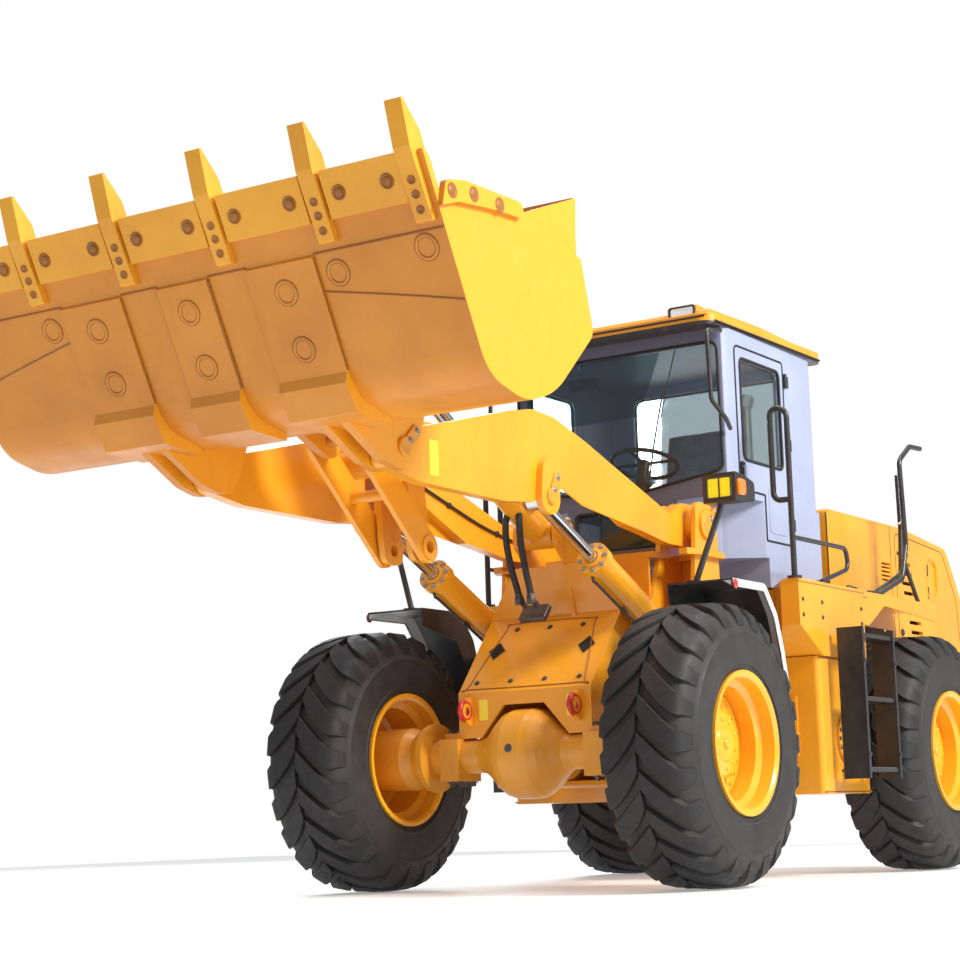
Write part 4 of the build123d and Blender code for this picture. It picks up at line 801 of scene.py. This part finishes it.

# bolts in a ring round the hinge lugs of the arms
b = Mesh()
for sg in (1, -1):
    for i in range(6):
        a = 2 * math.pi * i / 6
        b.bolt(P(2020 + 78 * math.cos(a), sg * 563, 2090 + 78 * math.sin(a)), (0, sg, 0), 0.0085, 0.007)
b.done("boom_tip_bolts", "steel", "boom_arm")

# hard pipes along the inner side of the left and right arm
g = Mesh()
for sg in (1, -1):
    g.sweep([P(-700, sg * 488, 2010), P(-300, sg * 488, 2080), P(260, sg * 488, 2230), P(420, sg * 488, 2270)], 0.009, 8)
    for p in ((-500, 2045), (0, 2158), (300, 2241)):
        g.lathe([(0, 0.017), (0.016, 0.017), (0.018, 0.013), (0.018, 0)], P(p[0], sg * 497, p[1]), (0, -sg, 0), 12, close=False)
g.done("boom_pipes", "black", "boom_arm")

# ------------------------------------------------------------ front fenders
FENDER = [(-160, 1610), (-555, 1610, 60), (-690, 1453, 120), (-760, 1250, 60), (-812, 1040)]


def open_round(pts, n=6):
    out = [tuple(pts[0][:2])]
    for i in range(1, len(pts) - 1):
        tri = round_poly([pts[i - 1][:2], pts[i], pts[i + 1][:2]], n)
        out += tri[1:-1] if len(pts[i]) > 2 else [tuple(pts[i][:2])]
    out.append(tuple(pts[-1][:2]))
    return out


line = open_round(FENDER)
g, r_ = Mesh(), Mesh()
for sg in (1, -1):
    verts, faces, nn = [], [], len(line)
    for i, (x, z) in enumerate(line):
        a, b2 = line[max(0, i - 1)], line[min(nn - 1, i + 1)]
        tx, tz = b2[0] - a[0], b2[1] - a[1]
        l = math.hypot(tx, tz)
        nx, nz = -tz / l, tx / l
        if nz < 0 and i < 4:
            nx, nz = -nx, -nz
        nx, nz = tz / l, -tx / l            # outwards and up, since the line runs rearwards and down
        for yy, off in ((1120, 1.0), (1188, 1.0), (1193, -2.0), (1193, -42), (1190, -44), (1120, -0.5)):
            verts.append(P(x + nx * -off, sg * yy, z + nz * -off) if False else P(x + nx * off, sg * yy, z + nz * off))
    for i in range(nn - 1):
        for j in range(5):
            faces.append((i * 6 + j, i * 6 + j + 1, (i + 1) * 6 + j + 1, (i + 1) * 6 + j))
        faces.append((i * 6 + 5, i * 6, (i + 1) * 6, (i + 1) * 6 + 5))
    faces += [tuple(range(6)), tuple(reversed(range((nn - 1) * 6, nn * 6)))]
    g.add(verts, faces)
    r_.lathe([(0, 0.026), (0.006, 0.026), (0.009, 0.022), (0.010, 0)], P(-180, sg * 1193, 1580), (0, sg, 0), 24, close=False)
g.done("fender_edge_trim", "trim", "front_body", "fender_black")
r_.done("fender_reflectors", "lens_r", "front_body")

# ------------------------------------------------------------------- lamps
g, o_, k_ = Mesh(), Mesh(), Mesh()
for sg in (1, -1):
    c = P(-205, sg * 1116, 2105)
    for yy, ww, hh in ((0.0, 0.158, 0.124),):
        g.plate(rrect(ww, hh, 0.012), c + Vector((0.0, yy, 0)), Vector((0, 1, 0)), Vector((0, 0, 1)), 0.012, 0.003,
                rrect(ww - 0.02, hh - 0.02, 0.008))
    g.plate(rrect(0.006, 0.11, 0.002), c + Vector((0.001, 0, 0)), Vector((0, 1, 0)), Vector((0, 0, 1)), 0.008, 0.002)
    for z in (2066, 2086, 2106, 2126, 2146):
        k_.sweep([P(-300, sg * 1213, z), P(-420, sg * 1213, z)], 0.0025, 6, smooth=1)
    o_.plate(rrect(0.085, 0.088, 0.02), P(-262, sg * 1212, 2106), Vector((-sg, 0, 0)), Vector((0, 0, 1)), 0.018, 0.007)
g.done("lamp_bezels", "plastic", "front_body")
k_.done("lamp_ribs", "plastic", "front_body")
o_.done("side_indicators", "lens_o", "front_body")

# --------------------------------------------------------------------- cab
CF, CR, HW = -1110.0, -2370.0, 740.0
WS = [(-692, 3140, 60), (692, 3140, 60), (698, 2372, 50), (150, 2290, 120), (-150, 2290, 120), (-698, 2372, 50)]
LOWG = [(-300, 1965, 30), (-300, 2195, 30), (300, 2195, 30), (300, 1965, 30)]
REAR = [(-540, 3130, 60), (540, 3130, 60), (540, 2420, 60), (-540, 2420, 60)]
g = Mesh()
for poly, x in ((WS, CF + 1), (LOWG, CF + 1), (REAR, CR - 1)):
    g.sweep([P(x - (0.5 * max(0, abs(a) - 650) ** 1.05 * 0.4 if x > CR else 0), a, b_) for a, b_ in round_poly(poly)], 0.010, 8,
            closed=True, smooth=1)
g.done("window_seals", "seal", "chassis", "cab_paint")
DOOR = [(-1246, 3134, 46), (-1924, 3134, 26), (-1924, 1990, 26), (-1581, 1990, 8), (-1581, 2266, 8), (-1246, 2266, 8)]
DWIN = [(-1312, 3066, 50), (-1858, 3066, 50), (-1858, 2450, 50), (-1312, 2450, 50)]
for tag, sg in (("left", 1), ("right", -1)):
    g, b = Mesh(), Mesh()
    g.sweep([P(x, sg * 738, z) for x, z in round_poly([(p[0] + (4 if p[0] < -1700 else -4), p[1], *p[2:]) for p in DOOR])],
            0.0075, 8, closed=True, smooth=1)
    g.sweep([P(x, sg * 740, z) for x, z in round_poly(DWIN)], 0.010, 8, closed=True, smooth=1)
    g.plate(rrect(0.055, 0.13, 0.012), P(-1290, sg * 740, 2368), Vector((-sg, 0, 0)), Vector((0, 0, 1)), 0.010, 0.003)
    g.done("door_seals_" + tag, "seal", "cab_door_" + tag, "cab_paint")
    g = Mesh()
    g.plate(rrect(0.24, 0.30, 0.03), P(-1752, sg * 740, 2190), Vector((-sg, 0, 0)), Vector((0, 0, 1)), 0.004, 0.002)
    g.done("door_press_" + tag, "cab", "cab_door_" + tag, "cab_paint")
    for z in (2120, 2620, 3020):
        b.lathe([(-0.045, 0), (-0.045, 0.011), (0.045, 0.011), (0.045, 0)], P(-1935, sg * 752, z), (0, 0, 1), 14, close=False)
        b.plate(rrect(0.05, 0.075, 0.006), P(-1968, sg * 741, z), Vector((-sg, 0, 0)), Vector((0, 0, 1)), 0.006, 0.002)
    b.done("door_hinges_" + tag, "black", "chassis")

g = Mesh()
g.plate([(-0.64, 0.04), (0.30, 0.04), (0.22, -0.16), (0.14, -0.33), (-0.3, -0.34), (-0.64, -0.33)], P(-1141, 0, 3090),
        Vector((0, 1, 0)), Vector((0, 0, 1)), 0.003, 0.001)
g.done("windshield_band", "band", "chassis")
g = Mesh()
g.sweep([P(-1100, 215, 2335), P(-1094, 260, 2560), P(-1096, 330, 2860)], 0.006, 8)
g.sweep([P(-1101, 270, 2560), P(-1100, 345, 2850), P(-1101, 425, 3120)], 0.0045, 6)
g.sweep([P(-1094, 325, 2840), P(-1098, 346, 2852)], 0.006, 6, smooth=1)
g.lathe([(0, 0.022), (0.02, 0.022), (0.026, 0.016), (0.026, 0)], P(-1108, 215, 2335), (1, 0, 0), 20, close=False)
g.done("wiper", "plastic", "chassis")
g = Mesh()
g.sweep([P(-1150, -250, 3180), P(-1120, -250, 3120), P(-1100 - 60, -250, 3060)], 0.006, 8)
g.plate(rrect(0.20, 0.075, 0.02), P(-1165, -250, 3010), Vector((0, 1, 0)), Vector((0.2, 0, 1)), 0.012, 0.004)
g.done("inside_mirror", "blue", "chassis")

# roof lamps
g, l_ = Mesh(), Mesh()
for py in (-465, 535):
    l_.plate(rrect(0.150, 0.052, 0.012), P(-1003, py, 3316), Vector((0, 1, 0)), Vector((0, 0, 1)), 0.005, 0.002)
    g.plate(rrect(0.176, 0.074, 0.016), P(-1000, py, 3316), Vector((0, 1, 0)), Vector((0, 0, 1)), 0.006, 0.002,
            rrect(0.152, 0.054, 0.012))
l_.done("roof_lamp_lenses", "lens_w", "chassis")
g.done("roof_lamp_bezels", "plastic", "chassis")
g = Mesh()
g.sweep([P(-978, y, 3268) for y in (-690, -300, 300, 690)], 0.006, 8)
g.sweep([P(-1020, 742, 3240), P(-1700, 752, 3240), P(-2460, 762, 3240)], 0.006, 8)
g.sweep([P(-1020, -742, 3240), P(-1700, -752, 3240), P(-2460, -762, 3240)], 0.006, 8)
g.done("roof_gutter", "seal", "chassis")


# -------------------------------------------------------------------- seat
def pad(name, centre, size, axes, crown, channels=(), pinch=0.16, body="chassis", n=26):
    """Crowned cushion: rounded box whose sides pull in, with sewn channels across."""
    ux, uy, uz = [Vector(a).normalized() for a in axes]
    bm = bmesh.new()
    bmesh.ops.create_grid(bm, x_segments=n, y_segments=n, size=1.0)
    grid = [v.co.copy() for v in bm.verts]
    faces0 = [[v.index for v in f.verts] for f in bm.faces]
    bm.free()
    m = Mesh()
    for face in (1, -1):
        verts = []
        for q in grid:
            a, b = q.x, q.y
            e = (1 - abs(a) ** 4.5) * (1 - abs(b) ** 4.5)
            e = max(0.0, e) ** 0.42
            pull = 1 - pinch * 0.25 * (1 - abs(a * b)) * max(abs(a), abs(b)) ** 6
            h = e * (0.5 + crown * (1 - a * a) * (1 - b * b) * (1 if face > 0 else 0.15))
            for ch in channels:
                h -= 0.09 * math.exp(-((b - ch) / 0.035) ** 2) * e * (1 if face > 0 else 0)
            ca, cb = a * math.sqrt(1 - b * b * 0.10), b * math.sqrt(1 - a * a * 0.10)
            verts.append(Vector(centre) + ux * ca * pull * size[0] / 2 + uy * cb * pull * size[1] / 2 + uz * face * h * size[2])
        m.add(verts, faces0)
    bm2 = bmesh.new()
    ob = m.done(name, "seat", None, None, 60)
    bm2.from_mesh(ob.data)
    bmesh.ops.remove_doubles(bm2, verts=bm2.verts, dist=0.0008)
    bmesh.ops.recalc_face_normals(bm2, faces=bm2.faces)
    bm2.to_mesh(ob.data)
    bm2.free()
    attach(ob, body)
    return ob


seat = pad("seat_cushion", P(-1870, 0, 2290), (0.47, 0.47, 0.105), ((1, 0, -0.06), (0, 1, 0), (0.06, 0, 1)), 0.22,
           (-0.45, 0.0, 0.45))
back = pad("seat_backrest", P(-2168, 0, 2575), (0.45, 0.52, 0.10), ((0, 1, 0), (-0.17, 0, 1), (1, 0, 0.17)), 0.25,
           (-0.55, -0.15, 0.25, 0.62))
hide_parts("seat")
g = Mesh()
for k in range(7):
    z = 1918 + k * 42
    g.plate(rrect(0.34 - 0.02 * (k % 2), 0.38 - 0.02 * (k % 2), 0.05), P(-1900, 0, z), (1, 0, 0), (0, 1, 0), 0.040, 0.014)
g.plate(rrect(0.44, 0.42, 0.03), P(-1880, 0, 2212), (1, 0, 0), (0, 1, 0), 0.026, 0.006)
for sg in (1, -1):
    g.sweep([P(-2150, sg * 245, 2300), P(-2140, sg * 275, 2400), P(-2110, sg * 280, 2440)], 0.016, 10)
    g.plate(rrect(0.33, 0.055, 0.025), P(-1965, sg * 280, 2436), (1, 0, 0.03), (0, 1, 0), 0.034, 0.012)
g.done("seat_base", "plastic", "chassis")
g = Mesh()
for k in range(3):
    g.sweep([P(-1480 - 70 * k, -430, 2270), P(-1470 - 70 * k, -430, 2400), P(-1462 - 70 * k, -430, 2440)], 0.007, 8)
    g.lathe([(-0.02, 0), (-0.018, 0.012), (0.0, 0.019), (0.018, 0.014), (0.022, 0)], P(-1460 - 70 * k, -430, 2452), (0, 0, 1), 16,
            close=False)
g.plate(rrect(0.42, 0.20, 0.03), P(-1600, -430, 2225), (1, 0, 0), (0, 1, 0), 0.05, 0.012)
g.sweep([P(-1690, -430, 1920), P(-1690, -430, 2230)], 0.03, 12, smooth=1)
g.done("control_levers", "plastic", "chassis")

# -------------------------------------------------------------------- hood
for sg, tag in ((1, "left"), (-1, "right")):
    g, k_, d_ = Mesh(), Mesh(), Mesh()
    y = sg * 750
    g.plate(rrect(0.186, 0.150, 0.02), P(-3400, y, 1953), Vector((-sg, 0, 0)), Vector((0, 0, 1)), 0.004, 0.002,
            rrect(0.170, 0.134, 0.016))
    rec = round_poly([(-4345, 1826, 75), (-4345, 2104, 75), (-4136, 2124, 75), (-4136, 1826, 75)])
    g.sweep([P(a, y, b_) for a, b_ in rec], 0.006, 8, closed=True, smooth=1)
    door = round_poly([(-3580, 1470, 50), (-3580, 2235, 60), (-4460, 2180, 90), (-4690, 1860, 90), (-4735, 1470, 40)])
    d_.sweep([P(a, sg * 749.2, b_) for a, b_ in door], 0.0032, 6, closed=True, smooth=1)
    d_.sweep([P(-2452, sg * 750, 1716), P(-2452, sg * 750, 2255)], 0.004, 6, smooth=1)
    d_.sweep([P(-3500, sg * 749.2, 2272), P(-3500, sg * 749.2, 1500)], 0.003, 6, smooth=1)
    g.done("hood_frames_" + tag, "yellow", "chassis", "yellow_paint")
    d_.done("hood_seams_" + tag, "dark", "chassis")
    for z in (1560, 1760):
        k_.lathe([(0, 0.026), (0.006, 0.026), (0.009, 0.021), (0.006, 0.013), (0.010, 0.010), (0.010, 0)],
                 P(-3630, y, z), (0, sg, 0), 20, close=False)
    for z in (1900, 2060):
        k_.plate(rrect(0.035, 0.09, 0.008), P(-4160, sg * 741, z - 30), Vector((-sg, 0, 0)), Vector((0, 0, 1)), 0.010, 0.003)
    k_.done("hood_latches_" + tag, "black", "chassis")
    # dark wire mesh behind the louvre slots, and dark sheets behind it as painted shade inside the hood
    k_ = Mesh()
    for i in range(26):
        z0 = 1525 + i * 24
        k_.sweep([P(-3560, sg * 716, z0), P(-4060, sg * 716, z0)], 0.0035, 5, smooth=1)
    for i in range(12):
        k_.sweep([P(-3300, sg * 716, 1880 + i * 12), P(-3495, sg * 716, 1880 + i * 12)], 0.003, 5, smooth=1)
    k_.plate(rrect(0.52, 0.66, 0.02), P(-3810, sg * 706, 1840), Vector((-sg, 0, 0)), Vector((0, 0, 1)), 0.004, 0.002)
    k_.plate(rrect(0.22, 0.16, 0.02), P(-3400, sg * 706, 1953), Vector((-sg, 0, 0)), Vector((0, 0, 1)), 0.004, 0.002)
    k_.done("louvre_mesh_and_shade_" + tag, "dark", "chassis")
g = Mesh()
g.plate(rrect(1.10, 0.40, 0.03), P(-3300, 0, 2280), (1, 0, 0), (0, 1, 0), 0.006, 0.003)
for x in (-3820, -2790):
    for y in (-170, 170):
        g.bolt(P(x, y, 2281), (0, 0, 1), 0.011, 0.009)
g.lathe([(0, 0.085), (0.02, 0.085), (0.03, 0.072), (0.03, 0.05), (0.0, 0.05)], P(-2900, 0, 2283), (0, 0, 1), 36, close=False)
g.done("hood_top_cover", "yellow", "chassis", "yellow_paint")

# rear lamps and counterweight bolts
g, k_, b = Mesh(), Mesh(), Mesh()
for sg in (1, -1):
    k_.plate(rrect(0.13, 0.30, 0.02), P(-4900, sg * 860, 1180), Vector((0, -1, 0)), Vector((0, 0, 1)), 0.012, 0.004)
    g.plate(rrect(0.105, 0.125, 0.015), P(-4912, sg * 860, 1252), Vector((0, -1, 0)), Vector((0, 0, 1)), 0.008, 0.003)
    for y, z in ((480, 1300), (480, 1080), (250, 1300)):
        b.bolt(P(-4900, sg * y, z), (-1, 0, 0), 0.022, 0.02)
k_.done("rear_lamp_housings", "plastic", "chassis")
g.done("rear_lamps_red", "lens_r", "chassis")
b.done("counterweight_bolts", "pipe", "chassis")
g = Mesh()
for sg in (1, -1):
    g.plate(rrect(0.105, 0.125, 0.015), P(-4912, sg * 860, 1112), Vector((0, -1, 0)), Vector((0, 0, 1)), 0.008, 0.003)
g.done("rear_lamps_orange", "lens_o", "chassis")

g = Mesh()
g.ring(P(-4900, 0, 1180), (1, 0, 0), 0.039, 0.005, 32, 8)
g.done("tow_bore_rim", "weld", "chassis", "yellow_paint")

# --------------------------------------------------------- tanks and ladders
g, b = Mesh(), Mesh()
for sg in (1, -1):
    for i in range(16):
        a = 2 * math.pi * i / 16
        b.bolt(P(-1860 + 132 * math.cos(a), sg * 1076, 800 + 132 * math.sin(a)), (0, sg, 0), 0.009, 0.008)
    g.sweep([P(-1526, sg * 1060, 1268), P(-2194, sg * 1060, 1268)], 0.005, 6, smooth=1)
    g.sweep([P(-1526, sg * 1058, 490), P(-2194, sg * 1058, 490)], 0.005, 6, smooth=1)
    g.sweep([P(-1240, sg * 1078, 1690), P(-2196, sg * 1078, 1690)], 0.0045, 6, smooth=1)
g.done("tank_weld_beads", "weld", "chassis", "yellow_paint")
for sg in (1, -1):
    for z in (1500, 1590):
        for x in (-1290, -1560, -2140):
            b.bolt(P(x, sg * 1080, z), (0, sg, 0), 0.009, 0.008)
b.done("tank_bolts", "pipe", "chassis")
g, k_ = Mesh(), Mesh()
for sg in (1, -1):
    for z in (610, 1020, 1390):
        for i in range(20):
            for j in range(5):
                g.lathe([(0, 0.0075), (0.003, 0.005), (0.003, 0)], P(-1672 - i * 21.5, sg * (1164 + j * 25), z + 12), (0, 0, 1), 6,
                        close=False)
    g.plate([(a / 1000, sg * b_ / 1000) for a, b_ in ((-350, -115), (240, -115), (470, 52), (470, 115), (-350, 115))],
            P(-1810, sg * 930, 1710), (1, 0, 0), (0, 1, 0), 0.003, 0.001)
    g.plate(rrect(0.90, 0.22, 0.02), P(-2890, sg * 900, 1710), (1, 0, 0), (0, 1, 0), 0.003, 0.001)
    k_.lathe([(0, 0.055), (0.03, 0.055), (0.04, 0.045), (0.04, 0.02), (0.052, 0.018), (0.052, 0)], P(-2330, sg * 930, 1710), (0, 0, 1),
             28, close=False)
    for x in (-1645, -2108):
        for z in (700, 1240):
            k_.bolt(P(x, sg * 1290, z), (0, sg, 0), 0.012, 0.01)
g.done("step_grip", "grip", "chassis", "black_paint")
k_.done("platform_fittings", "black", "chassis", "black_paint")

# ------------------------------------------------------------ floor and light
bpy.ops.mesh.primitive_plane_add(size=1)
floor = bpy.context.object
floor.name = "floor"
floor.scale = (27, 27, 1)
floor.location = (0, 0, -0.001)
floor.data.materials.append(M["floor"])

world = bpy.data.worlds.new("studio")
bpy.context.scene.world = world
world.use_nodes = True
wt = world.node_tree
bg = wt.nodes["Background"]
bg.inputs[0].default_value = (0.96, 0.98, 1.0, 1)
bg.inputs[1].default_value = 0.50
seen = wt.nodes.new("ShaderNodeBackground")
seen.inputs[0].default_value = (1, 1, 1, 1)
seen.inputs[1].default_value = 1.0
path = wt.nodes.new("ShaderNodeLightPath")
blend = wt.nodes.new("ShaderNodeMixShader")
wt.links.new(path.outputs["Is Camera Ray"], blend.inputs[0])
wt.links.new(bg.outputs[0], blend.inputs[1])
wt.links.new(seen.outputs[0], blend.inputs[2])
wt.links.new(blend.outputs[0], wt.nodes["World Output"].inputs[0])


def area(name, loc, target, size, power, colour=(1, 1, 1)):
    l = bpy.data.lights.new(name, "AREA")
    l.shape = "RECTANGLE"
    l.size, l.size_y = size
    l.energy = power
    l.color = colour
    o = bpy.data.objects.new(name, l)
    bpy.context.scene.collection.objects.link(o)
    o.location = loc
    o.rotation_euler = (Vector(target) - Vector(loc)).to_track_quat("-Z", "Y").to_euler()
    return o


area("key", (1.0, 12.5, 9.5), (0.3, 0, 1.5), (4, 4), 2700, (1.0, 0.965, 0.90))
area("top", (-1.0, 1.0, 12.0), (0, 0, 1.5), (9, 7), 800, (1, 0.99, 0.97))
area("back", (-9.0, -7.0, 6.0), (0, 0, 1.5), (5, 5), 700, (0.95, 0.97, 1.0))

# -------------------------------------------------------------------- camera
yaw, pitch, roll = math.radians(212.7748), math.radians(9.3162), math.radians(-1.6764)
d = Vector((math.cos(pitch) * math.cos(yaw), math.cos(pitch) * math.sin(yaw), math.sin(pitch)))
rt = d.cross(Vector((0, 0, 1))).normalized()
up = rt.cross(d)
rt2 = rt * math.cos(roll) + up * math.sin(roll)
up2 = up * math.cos(roll) - rt * math.sin(roll)
cam = bpy.data.cameras.new("camera")
cam.sensor_width = 36.0
cam.sensor_fit = "HORIZONTAL"
cam.lens = 2099.9 / 960 * 36.0
cam.clip_end = 400
co = bpy.data.objects.new("camera", cam)
bpy.context.scene.collection.objects.link(co)
co.matrix_world = Matrix(((rt2.x, up2.x, -d.x, 10.7335), (rt2.y, up2.y, -d.y, 6.0594), (rt2.z, up2.z, -d.z, 0.3606), (0, 0, 0, 1)))
bpy.context.scene.camera = co
bpy.context.scene.view_settings.view_transform = "Standard"
